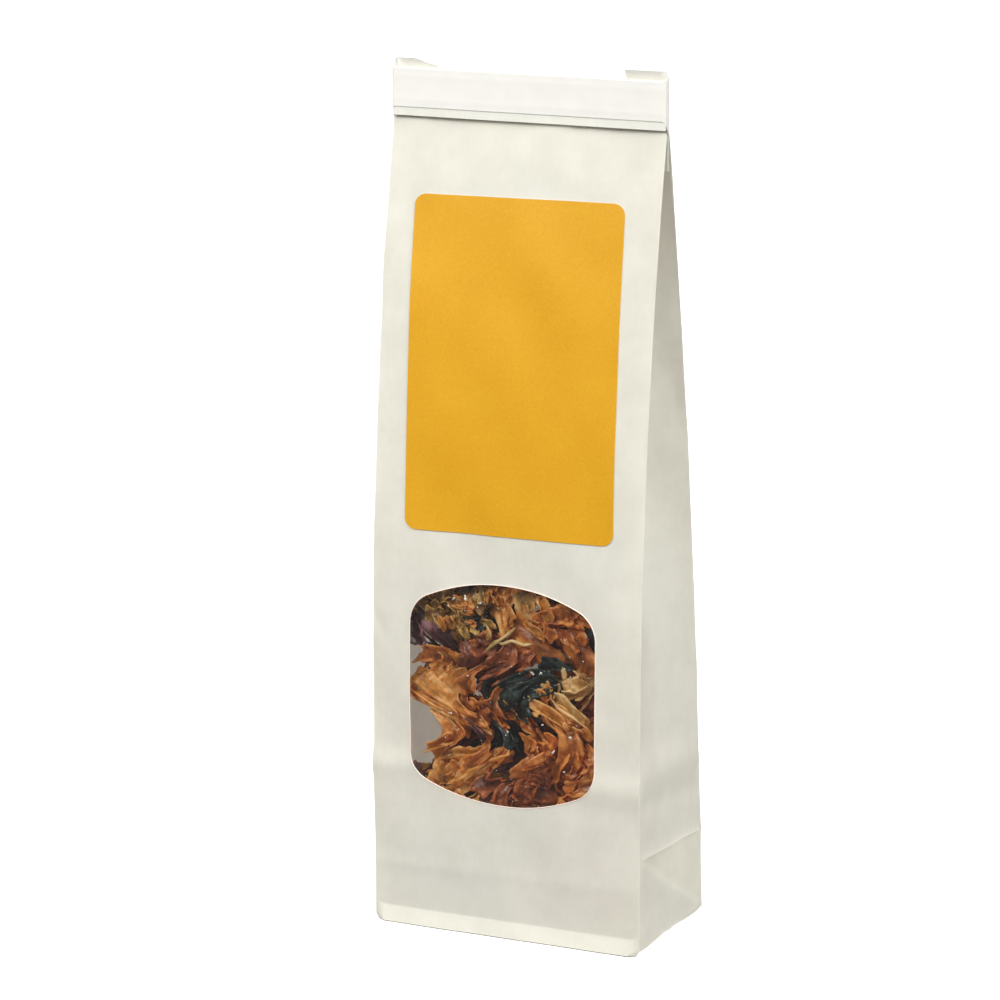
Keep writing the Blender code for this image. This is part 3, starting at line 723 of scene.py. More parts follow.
def shell_surface():
    """The walls' outer skin as a grid that is closed round the bag. Each point is a mix of two corners of the
    section at its height. Gives x, y, z, how far the relief moves the point outwards, its column's corner and
    the wall's thickness there, which shrinks where the folded side lies close behind."""
    corner, share = shell_columns()
    z = shell_rows(corner, share)
    front, back, inset = front_y(z), back_y(z), gusset_inset(z)
    middle = (front + back) / 2
    half = np.full_like(z, WIDTH / 2)
    corners_x = np.stack([-half, half, half - inset, half, -half, inset - half, -half])
    corners_y = np.stack([front, front, middle, back, back, middle, front])

    def from_corner(table, steps_on):
        """Each column's value from a table of the corners, for the corner that many steps on from its own."""
        index = np.broadcast_to(corner + steps_on, (1,) + z.shape)
        return np.take_along_axis(table, index, 0)[0]

    x = mix(from_corner(corners_x, 0), from_corner(corners_x, 1), share)
    y = mix(from_corner(corners_y, 0), from_corner(corners_y, 1), share)
    on_right = (corner == RIGHT_FRONT) | (corner == RIGHT_BACK)
    on_left = (corner == LEFT_BACK) | (corner == LEFT_FRONT)
    right = np.where(corner == RIGHT_FRONT, share, 1 + share) * DEPTH / 2
    left = np.where(corner == LEFT_FRONT, 1 - share, 2 - share) * DEPTH / 2
    neck = 1 - smooth((z - 150 * MM) / (50 * MM))
    relief = np.where(corner == FRONT, front_relief(x, z), back_relief(x, z))
    relief = np.where(on_right, side_relief(right + 0 * z, z, RIGHT_SEED, RIGHT_HEIGHTS) * neck, relief)
    relief = np.where(on_left, side_relief(left + 0 * z, z, LEFT_SEED, LEFT_HEIGHTS) * neck, relief)
    for side, a in ((on_right, right), (on_left, left)):
        x = np.where(side, np.sign(x) * (WIDTH / 2 - inset * fold_share(a, z)), x)
    lifted = np.where(corner == FRONT, np.clip(1 - (WIDTH / 2 - np.abs(x)) / TUCK, 0, 1), 0)
    lifted = np.where(on_right, 1 - right / DEPTH, lifted)
    lifted = np.where(on_left, 1 - left / DEPTH, lifted)
    z = z + LIFT * lifted * np.clip(1 - z / (12 * MM), 0, 1)
    beside = np.where((corner == RIGHT_FRONT) | (corner == LEFT_BACK), share, 1 - share)
    to_edge = np.clip((WIDTH / 2 - np.abs(x)) / np.maximum(inset, 0.1 * MM), 0, 1)
    beside = np.where((corner == FRONT) | (corner == BACK), to_edge, beside)
    apart = beside * (back - front) / 2
    relief = np.maximum(relief, -0.25 * apart)
    return x, y, z, relief, corner, np.minimum(PAPER, 0.25 * apart + 0.004 * MM)


def ground_rows(x, y, z, count=14):
    """Rows of the flat bottom, from its middle line out to just inside the walls' foot (x, y, z). The middle
    is a third of a millimetre off the ground and the edge follows the foot."""
    steps = np.linspace(0, 1, count)[:, None]
    ridge_half = (WIDTH - DEPTH) / 2
    middle_x = np.clip(x, -ridge_half, ridge_half) * 0.999
    return mix(middle_x, x * 0.988, steps), mix(0 * y, y * 0.98, steps), mix(0.35 * MM, z, steps**8)


def make_shell(paper, inside, edge):
    """The bag's body as one closed wall with the window cut out, and the cut edge in its own finish."""
    x, y, z, relief, corner, thickness = shell_surface()
    low_x, low_y, low_z = ground_rows(x[0], y[0], z[0])
    x = np.concatenate([low_x, x])
    y = np.concatenate([low_y, y])
    z = np.concatenate([low_z, z])
    relief = np.concatenate([np.zeros_like(low_x), relief])
    thickness = np.concatenate([np.full_like(low_x, PAPER), thickness])
    rows, columns = z.shape
    points = np.stack([x, y, z], -1).reshape(-1, 3)
    faces = grid_faces(rows, columns, closed=True)
    points += point_normals(points, faces) * relief.reshape(-1, 1)
    points[:, 2] = np.maximum(points[:, 2], 0)
    on_front = np.tile(corner, rows) == FRONT
    on_front &= (points[:, 2] > WINDOW_BASE - 5 * MM) & (points[:, 2] < WINDOW_BASE + WINDOW_HEIGHT + 5 * MM)
    on_front &= np.abs(points[:, 0] - WINDOW_MIDDLE) < WINDOW_WIDTH / 2 + 5 * MM
    near_faces = np.flatnonzero(on_front[faces].all(1))
    centres = points[faces[near_faces]].mean(1)
    outline = window_outline(60)
    _, outside = nearest_on_outline(centres[:, [0, 2]], outline)
    removed = np.zeros(len(faces), bool)
    removed[near_faces] = ~outside
    faces_kept = faces[~removed]
    moved = np.intersect1d(faces_kept, faces[removed])
    points[moved[:, None], [0, 2]], _ = nearest_on_outline(points[moved][:, [0, 2]], outline)
    points, whole, rim = thicken(points, faces_kept, thickness.ravel())
    used = np.unique(whole)
    index = np.zeros(len(points), int)
    index[used] = np.arange(len(used))
    whole = index[whole]
    points = points[used]
    slots = np.zeros(len(whole), int)
    slots[len(faces_kept) : 2 * len(faces_kept)] = 1
    slots[rim] = 2
    finishes = [paper, inside, edge]
    piece = new_piece("paper_shell", points, whole, finishes, slots, crease=CUT_EDGE)
    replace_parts(piece, "paper_bag")


def hook_path(radius, start_z, end_z, steps=14):
    """The line of one folded sheet from the side: up behind, over the top in a half turn, down in front."""
    back = NECK_MIDDLE + NECK_THICK / 2
    centre_y = (back + FLAP_FRONT) / 2
    centre_z = FOLD_TOP - (back - FLAP_FRONT) / 2
    turn = np.linspace(0, math.pi, steps)
    bend = np.stack([centre_y + radius * np.cos(turn), centre_z + radius * np.sin(turn)], -1)
    rise = np.stack([np.full(10, centre_y + radius), np.linspace(start_z, centre_z, 11)[:-1]], -1)
    fall = np.stack([np.full(10, centre_y - radius), np.linspace(centre_z, end_z, 11)[1:]], -1)
    return np.concatenate([rise, bend, fall])


def mouth_sway(x):
    """How far the folded mouth bends back along its width."""
    return slow_waves(x, x * 0, 31, 0.10 * MM, (34 * MM, 19 * MM))


def make_mouth(paper, edge):
    """The folded mouth: four sheets, front, back and the two halves of the side folds, nested in one bend."""
    parts = []
    for layer, shorter in enumerate(MOUTH_ENDS):
        path = hook_path(MOUTH_RADIUS - layer * MOUTH_STEP, 214 * MM, FLAP_END + shorter)
        across = np.linspace(-0.5, 0.5, 61)
        x = across * (WIDTH - 0.12 * MM * layer)
        sway = mouth_sway(x)
        rows = path[:, None, :] + np.zeros((1, len(x), 1))
        points = np.stack([x + 0 * rows[..., 0], rows[..., 0] + sway, rows[..., 1]], -1)
        count_rows, count_columns = points.shape[:2]
        faces = grid_faces(count_rows, count_columns)[:, ::-1]
        parts.append(thicken(points.reshape(-1, 3), faces, INNER_SHEET, 0.5))
    return joined("folded_mouth", parts, [paper, edge])


def joined(name, parts, materials, values=None):
    """One piece from several (points, faces, rim flags), with rims in the last material."""
    points, faces, rims = [], [], []
    count = 0
    for part_points, part_faces, part_rim in parts:
        points.append(part_points)
        faces.append(part_faces + count)
        rims.append(part_rim)
        count += len(part_points)
    rim = np.concatenate(rims).astype(int) * (len(materials) - 1)
    points, faces = np.concatenate(points), np.concatenate(faces)
    return new_piece(name, points, faces, materials, rim, values, CUT_EDGE)


def front_sheet(x, z, offset):
    """Points that lie on the front panel, offset outwards from it."""
    return np.stack([x, front_y(z) - front_relief(x, z) - offset, z], -1)


def make_film(finish):
    """The film behind the window, a little larger than the hole, slack by a tenth of a millimetre or two."""
    half = WINDOW_WIDTH / 2 + FILM_MARGIN
    x, z = np.meshgrid(
        WINDOW_MIDDLE + np.linspace(-half, half, 50),
        WINDOW_BASE + np.linspace(-FILM_MARGIN, WINDOW_HEIGHT + FILM_MARGIN, 56),
    )
    slack = slow_waves(x, z, 21, 0.15 * MM, (31 * MM, 17 * MM))
    points = front_sheet(x, z, -PAPER - 0.3 * MM + slack)
    solid = thicken(points.reshape(-1, 3), grid_faces(*x.shape), 0.05 * MM)
    piece = joined("window_film_sheet", [solid], [finish])
    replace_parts(piece, "window_film")


def make_cut_rim(edge):
    """The die cut crushed the paper's edge a little proud of its face: a round rim along the window."""
    outline = window_outline(24)
    outline = np.concatenate([outline, outline[:1]])
    middle = front_sheet(outline[:, 0], outline[:, 1], 0.02 * MM)
    beside = np.gradient(outline, axis=0)
    beside /= np.linalg.norm(beside, axis=1, keepdims=True)
    inward = np.stack([-beside[:, 1], 0 * beside[:, 0], beside[:, 0]], -1)
    forward = np.broadcast_to((0.0, -1.0, 0.0), middle.shape)
    points = rings_round(middle, inward, forward, RIM_RADIUS)[:-1].reshape(-1, 3)
    faces = grid_faces(len(outline), TUBE_SIDES, closed=True) % len(points)
    new_piece("window_cut_rim", points, outward_facing(points, faces), [edge])


def make_bottom_folds(layers):
    """The block bottom's folded-in corners: a triangle of paper behind each side, between the fold line, the
    slanted fold and the back edge, which keeps the glow of the light inside from that part of the side."""
    a, share = np.meshgrid(np.linspace(1 * MM, DEPTH - 1.5 * MM, 24), np.linspace(0, 1, 12))
    parts = []
    for side, seed, heights in ((1, RIGHT_SEED, RIGHT_HEIGHTS), (-1, LEFT_SEED, LEFT_HEIGHTS)):
        slanted = np.maximum(heights[0] * (1 - a / DEPTH), 1.5 * MM)
        z = mix(slanted, mix(heights[0], heights[1], a / DEPTH) - 0.3 * MM, share)
        x = side * (WIDTH / 2 - FOLD_BEHIND + side_relief(a, z, seed, heights))
        faces = grid_faces(*x.shape)[:, ::side]
        points = np.stack([x, a - DEPTH / 2, z], -1).reshape(-1, 3)
        parts.append(thicken(points, faces, INNER_SHEET))
    joined("bottom_folds", parts, [layers])


def make_back_seam(paper, edge):
    """The glued overlap up the middle of the back: a strip of paper on the back panel."""
    heights = np.linspace(1 * MM, SHELL_TOP - 14 * MM, 120)
    x, z = np.meshgrid(np.linspace(-SEAM_HALF, SEAM_HALF, 12), heights)
    points = np.stack([x, back_y(z) + back_relief(x, z) + 0.12 * MM, z], -1).reshape(-1, 3)
    solid = thicken(points, grid_faces(*x.shape)[:, ::-1], INNER_SHEET, 0.4)
    joined("back_seam", [solid], [paper, edge])


def make_label(print_face, white_edge):
    """The label: a round-cornered sheet that follows the paper. A row at height z is as wide as the rounded
    rectangle is there, and the whole is turned a touch."""
    rows = eased(110, 0.7)[:, None]
    columns = eased(70, 0.7)[None]
    z = (rows - 0.5) * (LABEL_HEIGHT - 0.02 * MM)
    into_corner = np.clip(np.abs(z) - LABEL_HEIGHT / 2 + LABEL_CORNER, 0, LABEL_CORNER)
    half = LABEL_WIDTH / 2 - LABEL_CORNER + np.sqrt(LABEL_CORNER**2 - into_corner**2)
    x = (columns - 0.5) * 2 * half
    z = z + 0 * x
    turned_x = LABEL_MIDDLE[0] + x * math.cos(LABEL_TURN) - z * math.sin(LABEL_TURN)
    turned_z = LABEL_MIDDLE[1] + x * math.sin(LABEL_TURN) + z * math.cos(LABEL_TURN)
    points = front_sheet(turned_x, turned_z, 0.05 * MM + LABEL_THICK).reshape(-1, 3)
    solid = thicken(points, grid_faces(*x.shape), LABEL_THICK)
    piece = joined("front_label", [solid], [print_face, white_edge])
    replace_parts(piece, "label")


def tie_path(steps=10):
    """The tie's middle line from above: behind one end, round it, along the front and round the other."""
    front = FLAP_FRONT - TIE_OFF
    back = NECK_MIDDLE + NECK_THICK / 2 + TIE_OFF
    side = WIDTH / 2 + TIE_OFF
    corner = side - TIE_BEND
    turn = np.linspace(0, math.pi / 2, steps)
    near = np.stack([corner + TIE_BEND * np.sin(turn), front + TIE_BEND - TIE_BEND * np.cos(turn)], -1)
    far = np.stack([corner + TIE_BEND * np.cos(turn), back - TIE_BEND + TIE_BEND * np.sin(turn)], -1)
    run = np.stack([np.linspace(0, corner, 40)[:-1], np.full(39, front)], -1)
    tab = np.stack([np.linspace(corner, side - TAB_LENGTH, 14)[1:], np.full(13, back)], -1)
    right = np.concatenate([run, near, far, tab])
    return np.concatenate([(right * (-1, 1))[:0:-1], right]), front, back


def make_tie(sleeve, edge, wire):
    """The flat tie with a low ridge over each wire. Past the bends its edges drop and rise by the tab's share
    of the way round, the left tab's end slants, and above the mouth both tabs lean forward."""
    path, front, back = tie_path()
    ahead = np.gradient(path, axis=0)
    ahead /= np.linalg.norm(ahead, axis=1, keepdims=True)
    outward = np.stack([ahead[:, 1], -ahead[:, 0]], -1)
    round_bend = (path[:, 1] - front) / (back - front)
    path[:, 1] += mouth_sway(path[:, 0]) * (round_bend < 0.01)
    low = FLAP_END + TIE_LIP - TAB_DROP * np.minimum(2 * round_bend, 1)
    high = FLAP_END + TIE_LIP + TIE_HEIGHT + TAB_RISE * round_bend
    behind = np.clip((WIDTH / 2 - np.abs(path[:, 0])) / TAB_LENGTH, 0, 1) * (round_bend > 0.99)
    high = high - 1.6 * MM * smooth((behind - 0.45) / 0.5) * (path[:, 0] < 0)
    share = eased(30, 0.5)[:, None]
    z = low + (high - low) * share
    wire_low, wire_high = FLAP_END + TIE_LIP + WIRE_INSET, FLAP_END + TIE_LIP + TIE_HEIGHT - WIRE_INSET
    ridges = 0.03 * MM * (hill(z - wire_low, 0.9 * MM) + hill(z - wire_high, 0.9 * MM))
    creases = 0.05 * MM * sum(ridge(path[:, 0] + place, 0.25 * MM) for place in TIE_CREASES)
    forward = TAB_LEAN * np.maximum(z - FOLD_TOP, 0) * smooth(behind / 0.2)
    skins = []
    for side in (1, -1):
        off = side * (TIE_HALF + (ridges - creases) * (side > 0))
        x, y = path[:, 0] + outward[:, 0] * off, path[:, 1] + outward[:, 1] * off - forward
        skins.append(np.stack([x, y, z], -1).reshape(-1, 3))
    rows, columns = z.shape
    faces = grid_faces(rows, columns)
    count = rows * columns
    edges = border(faces)
    rim = np.stack([edges[:, 1], edges[:, 0], edges[:, 0] + count, edges[:, 1] + count], -1)
    whole = np.concatenate([faces, faces[:, ::-1] + count, rim])
    is_rim = np.arange(len(whole)) >= 2 * len(faces)
    piece = joined("tie_sleeve", [(np.concatenate(skins), whole, is_rim)], [sleeve, edge])
    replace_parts(piece, "tie_strip")
    level = np.pad(outward, ((0, 0), (0, 1)))
    upright = np.broadcast_to((0.0, 0.0, 1.0), level.shape)
    for name, height in (("tie_wire_lower", wire_low), ("tie_wire_upper", wire_high)):
        middle = np.pad(path, ((0, 0), (0, 1)), constant_values=height)
        points = rings_round(middle, level, upright, WIRE_RADIUS).reshape(-1, 3)
        core = new_piece(name + "_core", points, capped_tube(len(path)), [wire])
        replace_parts(core, name)


# The seaweed: each frond of the part again, with finer relief


def grow_fan(rng, forks, spread):
    """A flat frond whose foot is at the origin and whose lobes share a sector of the unit disc: points as
    (x, rim, z), rim being 1 on the blade's edge and 0 along its middle, and quads."""
    points, quads = [], []
    swirl = rng.uniform(-0.5, 0.5)

    def put(radius, angle, rim):
        turned = angle + swirl * radius
        points.append((radius * math.cos(turned), rim, radius * math.sin(turned)))
        return len(points) - 1

    def lobe(row, middle, half, start, level):
        """Carries one blade out to its own fork, or to its notched tip."""
        last = level == forks
        end = (level + 1) / (forks + 1) * rng.uniform(0.88, 1.08)
        left, right = half * rng.uniform(0.78, 1.0, 2) * (0.85 if level == 0 else 1.0)
        halfway = (start + end) / 2
        waist = [put(halfway, middle + left, 1), put(halfway, middle, 0), put(halfway, middle - right, 1)]
        depth = rng.uniform(0.05, 0.1)
        shoulder = end - depth * (1.4 if last else 0.5)
        fork = [
            put(shoulder, middle + half, 1),
            put(end + depth / 2, middle + half * 0.5, 1 if last else 0),
            put(end - depth * 0.8, middle, 1),
            put(end + depth / 2, middle - half * 0.5, 1 if last else 0),
            put(shoulder, middle - half, 1),
        ]
        quads.append((row[0], waist[0], waist[1], row[1]))
        quads.append((row[1], waist[1], waist[2], row[2]))
        quads.append((waist[0], fork[0], fork[1], waist[1]))
        quads.append((waist[1], fork[1], fork[2], fork[3]))
        quads.append((waist[1], fork[3], fork[4], waist[2]))
        if last:
            return
        for side, branch in ((1, fork[0:3]), (-1, fork[2:5])):
            narrower = half / 2 * rng.uniform(0.84, 0.95)
            lobe(branch, middle + side * half / 2, narrower, end, level + 1)

    foot = [put(0.1, spread / 2, 1), put(0.04, 0, 1), put(0.1, -spread / 2, 1)]
    lobe(foot, 0.0, spread / 2, 0.1, 0)
    return np.array(points), quads


def fit_to_cell(points, turn, cell):
    """Turns the flat frond and stretches its box to fill the cell (x, z, width, height)."""
    spin = np.array([[math.cos(turn), -math.sin(turn)], [math.sin(turn), math.cos(turn)]])
    turned = points[:, [0, 2]] @ spin.T
    low, high = turned.min(0), turned.max(0)
    placed = (turned - (low + high) / 2) * np.array(cell[2:]) / (high - low) + np.array(cell[:2])
    return np.stack([placed[:, 0], points[:, 1], placed[:, 1]], -1)


def subdivided(points, quads, level):
    """The smooth surface of a quad mesh after level rounds, as its points and quads."""
    mesh = bpy.data.meshes.new("rough")
    mesh.from_pydata(points.tolist(), [], quads)
    rough = bpy.data.objects.new("rough", mesh)
    bpy.context.scene.collection.objects.link(rough)
    rounds = rough.modifiers.new("Rounds", "SUBSURF")
    rounds.levels = level
    rounds.render_levels = level
    evaluated = rough.evaluated_get(bpy.context.evaluated_depsgraph_get())
    fine = evaluated.to_mesh()
    places = np.empty(len(fine.vertices) * 3)
    fine.vertices.foreach_get("co", places)
    corners = np.empty(len(fine.loops), np.int32)
    fine.loops.foreach_get("vertex_index", corners)
    evaluated.to_mesh_clear()
    bpy.data.objects.remove(rough)
    bpy.data.meshes.remove(mesh)
    return places.reshape(-1, 3), corners.reshape(-1, 4).astype(int)


def zigzag(x, z, rng, wave, sharpness=0.97):
    """A folded wave of random heading: the arcsine of a sine, from -1 to 1."""
    heading = rng.uniform(0, TURN)
    across = x * math.cos(heading) + z * math.sin(heading)
    phase = across * (TURN / wave) + rng.uniform(0, TURN)
    return (2 / math.pi) * np.arcsin(np.sin(phase) * sharpness)


CRUMPLE_WAVES = (13 * MM, 8.5 * MM)
WRINKLES = ((0.55 * MM, 5.6 * MM), (0.42 * MM, 3.1 * MM), (0.25 * MM, 2.1 * MM))  # each height and its wave
FRILL_HEIGHT = 0.7 * MM
FRILL_WAVES = (4.1 * MM, 3.0 * MM)
RAGGED_EDGE = 0.3 * MM
FRONT_LIMIT = -0.9 * MM  # no blade of the plain block stands further forward than this


def crumple(x, z, rng, height):
    """The frond's main ruffles, as in the part: two crossed waves."""
    return height * 0.5 * sum(zigzag(x, z, rng, wave) for wave in CRUMPLE_WAVES)


def taper(value, low, high, run):
    """0 at the limits and beyond, 1 further in than run."""
    return smooth(np.minimum(value - low, high - value) / run)


# Where the window shows the bare bag at the left: how far the fill draws back, at which height and how high
BARE_PLACES = ((11 * MM, 57 * MM, 8 * MM), (6 * MM, 78 * MM, 4 * MM))
FILL_PUSH = 2.6 * MM
FILL_LIFT = 2.0 * MM
FILL_SLIDE = 2.0 * MM


def side_room(z):
    """How far the fill draws back from the left wall."""
    return sum(room * hill(z - middle, half) for room, middle, half in BARE_PLACES)


def into_bag(x, y, z):
    """Carries the fill from its plain block into the bag: three shears, then a squeeze between the walls.
    y is the depth behind the window, 0 to FILL_DEPTH."""
    push = FILL_PUSH * taper(y, 0, FILL_DEPTH, 12 * MM)
    slow = 0.6 * np.sin(TURN * (x / (31 * MM) + z / (47 * MM)))
    y = y + push * (slow + 0.4 * np.sin(TURN * z / (19 * MM) + 1.1))
    lift = FILL_LIFT * taper(z, FILL_BASE, FILL_TOP, 10 * MM)
    z = z + lift * np.sin(TURN * (y / (12 * MM) + x / (37 * MM)) + 0.4)
    slide = FILL_SLIDE * taper(x, -FILL_HALF_WIDTH, FILL_HALF_WIDTH, 10 * MM)
    x = x + slide * np.sin(TURN * (y / (14 * MM) + z / (29 * MM)) + 2.0)
    near = front_y(z) + WALL_CLEARANCE
    far = back_y(z) - WALL_CLEARANCE
    depth = near + (far - near) * y / FILL_DEPTH
    fold = gusset_inset(z) * (1 - np.abs(2 * (depth - front_y(z)) / (back_y(z) - front_y(z)) - 1))
    right = WIDTH / 2 - fold - SIDE_CLEARANCE
    left = -right + side_room(z)
    across = (x + FILL_HALF_WIDTH) / (2 * FILL_HALF_WIDTH)
    return np.stack([left + (right - left) * across, depth, z], -1)


BLADE_THICK = 0.3 * MM
FINE_LAYERS = 3  # the fronds this near the window get one more round of detail
TONGUES = 12
TONGUE_LENGTH = 3.2 * MM
TONGUE_ROWS, TONGUE_COLUMNS = 6, 5


def repeated_grid(count, rows, columns):
    """The quads of that many grids, one after the other."""
    starts = np.arange(count) * rows * columns
    return (grid_faces(rows, columns)[None] + starts[:, None, None]).reshape(-1, 4)


def outgrowths(points, rim, rng, count, length):
    """Small tongues that grow from the frond's rim towards the window, each a small grid: its middle line
    leaves the frond at a slant and its edges cup forward. Returns points, quads and rim values."""
    spots = rng.choice(np.flatnonzero(rim > 0.55), count)
    heading = rng.uniform(0, TURN, (count, 1, 1))
    slant = rng.uniform(0.2, 1.3, (count, 1, 1))
    reach = length * rng.uniform(0.6, 1.3, (count, 1, 1))
    broad = reach * rng.uniform(0.3, 0.5, (count, 1, 1))
    s = np.linspace(0, 1, TONGUE_ROWS)[None, :, None]
    t = np.linspace(-1, 1, TONGUE_COLUMNS)[None, None, :]
    along = reach * s * np.cos(slant)
    rise = reach * s * np.sin(slant) + broad * 0.5 * t**2 * s
    rise = rise + 0.35 * MM * s * np.sin(t * 5 + heading * 3)
    across = broad * t * (0.35 + 0.65 * np.sin(math.pi * (0.12 + 0.72 * s)))
    x = points[spots, 0][:, None, None] + along * np.cos(heading) - across * np.sin(heading)
    y = points[spots, 1][:, None, None] - rise
    z = points[spots, 2][:, None, None] + along * np.sin(heading) + across * np.cos(heading)
    quads = repeated_grid(count, TONGUE_ROWS, TONGUE_COLUMNS)
    edge = np.maximum(np.abs(t), s) + 0 * x
    return np.stack([x + 0 * y, y + 0 * x, z], -1).reshape(-1, 3), quads, edge.reshape(-1)


def outward_facing(points, faces):
    """The faces turned so that the closed surface holds a positive volume."""
    a, b, c, d = (points[faces[:, k]] for k in range(4))
    volume = np.einsum("ij,ij->", a, np.cross(b, c)) + np.einsum("ij,ij->", a, np.cross(c, d))
    return faces if volume > 0 else faces[:, ::-1]


def blade_piece(name, tint, points, faces, rims, finish):
    """Sheets of the plain block carried into the bag and given their thickness, as one piece."""
    solid, whole, _ = thicken(into_bag(*points.T), faces, BLADE_THICK, 0.5)
    values = {"rim": np.tile(rims, 2)}
    return new_piece(name, solid, outward_facing(solid, whole), [finish], None, values)


def make_frond(name, tint, seed, cell, layer, turn, forks, spread, finish):
    """One dried frond: the part's fan, rounded, with wrinkles, a frilled rim and small outgrowths."""
    rng = np.random.default_rng(seed)
    flat, quads = grow_fan(rng, forks, spread)
    flat = fit_to_cell(flat, turn, cell)
    near = layer < FINE_LAYERS
    fine, faces = subdivided(flat, quads, 3 if near else 2)
    x, rim, z = fine.T
    main = crumple(x, z, rng, RUFFLES[layer])
    detail = np.random.default_rng(seed + 1000)
    wrinkle = sum(height * zigzag(x, z, detail, wave, 0.9) for height, wave in WRINKLES)
    frill = FRILL_HEIGHT * rim**2 * sum(zigzag(x, z, detail, wave, 0.7) for wave in FRILL_WAVES)
    ragged = RAGGED_EDGE * rim**3
    x = x + ragged * zigzag(x, z, detail, 2.6 * MM, 0.8)
    z = z + ragged * zigzag(x, z, detail, 2.3 * MM, 0.8)
    y = np.maximum(LAYER_DEPTHS[layer] + main + wrinkle + frill, FRONT_LIMIT)
    points = np.stack([x, y, z], -1)
    rims = rim
    if near:
        extra, extra_faces, extra_rim = outgrowths(points, rim, detail, TONGUES, TONGUE_LENGTH)
        extra[:, 1] = np.maximum(extra[:, 1], FRONT_LIMIT)
        faces = np.concatenate([faces, extra_faces + len(points)])
        points = np.concatenate([points, extra])
        rims = np.concatenate([rims, extra_rim])
    points[:, 0] = np.clip(points[:, 0], -FILL_HALF_WIDTH, FILL_HALF_WIDTH)
    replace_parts(blade_piece(name + "_blade", tint, points, faces, rims, finish), name)


# The fronds just behind the window: tint, where each one shows in it (x, z, width, height in mm, as seen from
# the right and above), the way its tips point in degrees, how often it forks and its fan's angle in radians
FRONT_FRONDS = [
    ("olive", -15.5, 95, 21, 13.5, 200, 3, 3.4),
    ("honey", 4, 94.5, 15.5, 13, 280, 2, 2.8),
    ("amber", 19.5, 92.5, 13, 13, 20, 2, 2.6),
    ("honey", -21.5, 72.2, 17, 21, 170, 3, 3.4),
    ("russet", -3, 78.8, 18, 16, 40, 2, 2.6),
    ("amber", -3.5, 65.3, 17, 8.7, 15, 2, 1.8),
    ("straw", 20.5, 76.5, 13, 11, 120, 2, 2.8),
    ("honey", 16, 65.6, 20, 9, 250, 3, 3.2),
    ("amber", 6, 55.3, 16, 10, 200, 2, 3.0),
    ("amber", 21, 50.7, 12, 19.5, 80, 2, 1.8),
    ("honey", -15.5, 47.5, 23, 13.5, 190, 3, 3.4),
    ("russet", 5.5, 43.2, 17, 11.5, 320, 3, 3.2),
]
SECOND_FRONDS = [
    ("bottle", -6, 91.5, 22, 15, 350, 2, 2.6),
    ("plum", -24.5, 89, 13, 18, 250, 2, 2.6),
    ("russet", 13.5, 89.5, 15, 19, 60, 2, 2.8),
    ("bottle", 27.5, 89.5, 11, 19, 80, 2, 2.0),
    ("plum", -14, 75, 16, 15.5, 300, 2, 2.8),
    ("bottle", 6, 71.8, 22, 14.5, 215, 2, 1.8),
    ("russet", 25, 70.5, 14, 17, 270, 2, 2.6),
    ("bottle", -1.5, 56.2, 15, 14, 310, 2, 2.0),
    ("russet", -15.5, 58.5, 11, 15, 140, 2, 3.0),
    ("amber", 18.5, 54.2, 23, 13.5, 230, 2, 3.0),
    ("plum", -17, 42, 26, 12.5, 20, 2, 3.0),
    ("amber", 12, 40.2, 30, 12, 180, 2, 3.2),
]
SIGHT_SLOPE = (-0.44, -0.27)  # how far the line of sight runs sideways and down for each step into the bag
LAYER_DEPTHS = [2.6 * MM, 7.8 * MM, 13.4 * MM, 20.2 * MM, 28.2 * MM, 36.6 * MM]
RUFFLES = [1.9 * MM, 2.1 * MM, 2.3 * MM, 3.0 * MM, 3.5 * MM, 3.5 * MM]
BELOW_WINDOW = (FILL_BASE, 30 * MM)
ABOVE_WINDOW = (102.5 * MM, FILL_TOP)
LOW_HALF = (FILL_BASE, 63 * MM)
HIGH_HALF = (65 * MM, FILL_TOP)
BACK_TINTS = ["amber", "russet", "honey", "plum", "olive", "amber", "bottle", "honey", "straw"]


def make_fill(finishes):
    """The part's fifty fronds in their order: the listed ones, and pairs by rule around and behind them."""
    count = 0

    def frond(tint, layer, cell, heading, forks=2, spread=3.0):
        nonlocal count
        count += 1
        name = f"frond_{count:02d}_{tint}"
        make_frond(name, tint, 100 + count, cell, layer, heading, forks, spread, finishes[tint])

    def pair(layer, low, high):
        for side in (-1, 1):
            tint = BACK_TINTS[(count * 4 + layer) % len(BACK_TINTS)]
            cell = (side * FILL_HALF_WIDTH / 2, (low + high) / 2, FILL_HALF_WIDTH - 1.4 * MM, high - low)
            frond(tint, layer, cell, count * 1.7)

    for layer, listed in enumerate((FRONT_FRONDS, SECOND_FRONDS)):
        behind_face = WALL_CLEARANCE + LAYER_DEPTHS[layer]
        for tint, x, z, width, height, heading, forks, spread in listed:
            place = (x * MM + SIGHT_SLOPE[0] * behind_face, z * MM + SIGHT_SLOPE[1] * behind_face)
            frond(tint, layer, (*place, width * MM, height * MM), math.radians(heading), forks, spread)
        pair(layer, *BELOW_WINDOW)
        pair(layer, *ABOVE_WINDOW)
    third = (FILL_TOP - FILL_BASE) / 3
    for row in range(3):
        pair(2, FILL_BASE + row * third + 0.7 * MM, FILL_BASE + (row + 1) * third - 0.7 * MM)
    for layer in range(3, len(LAYER_DEPTHS)):
        pair(layer, *LOW_HALF)
        pair(layer, *HIGH_HALF)


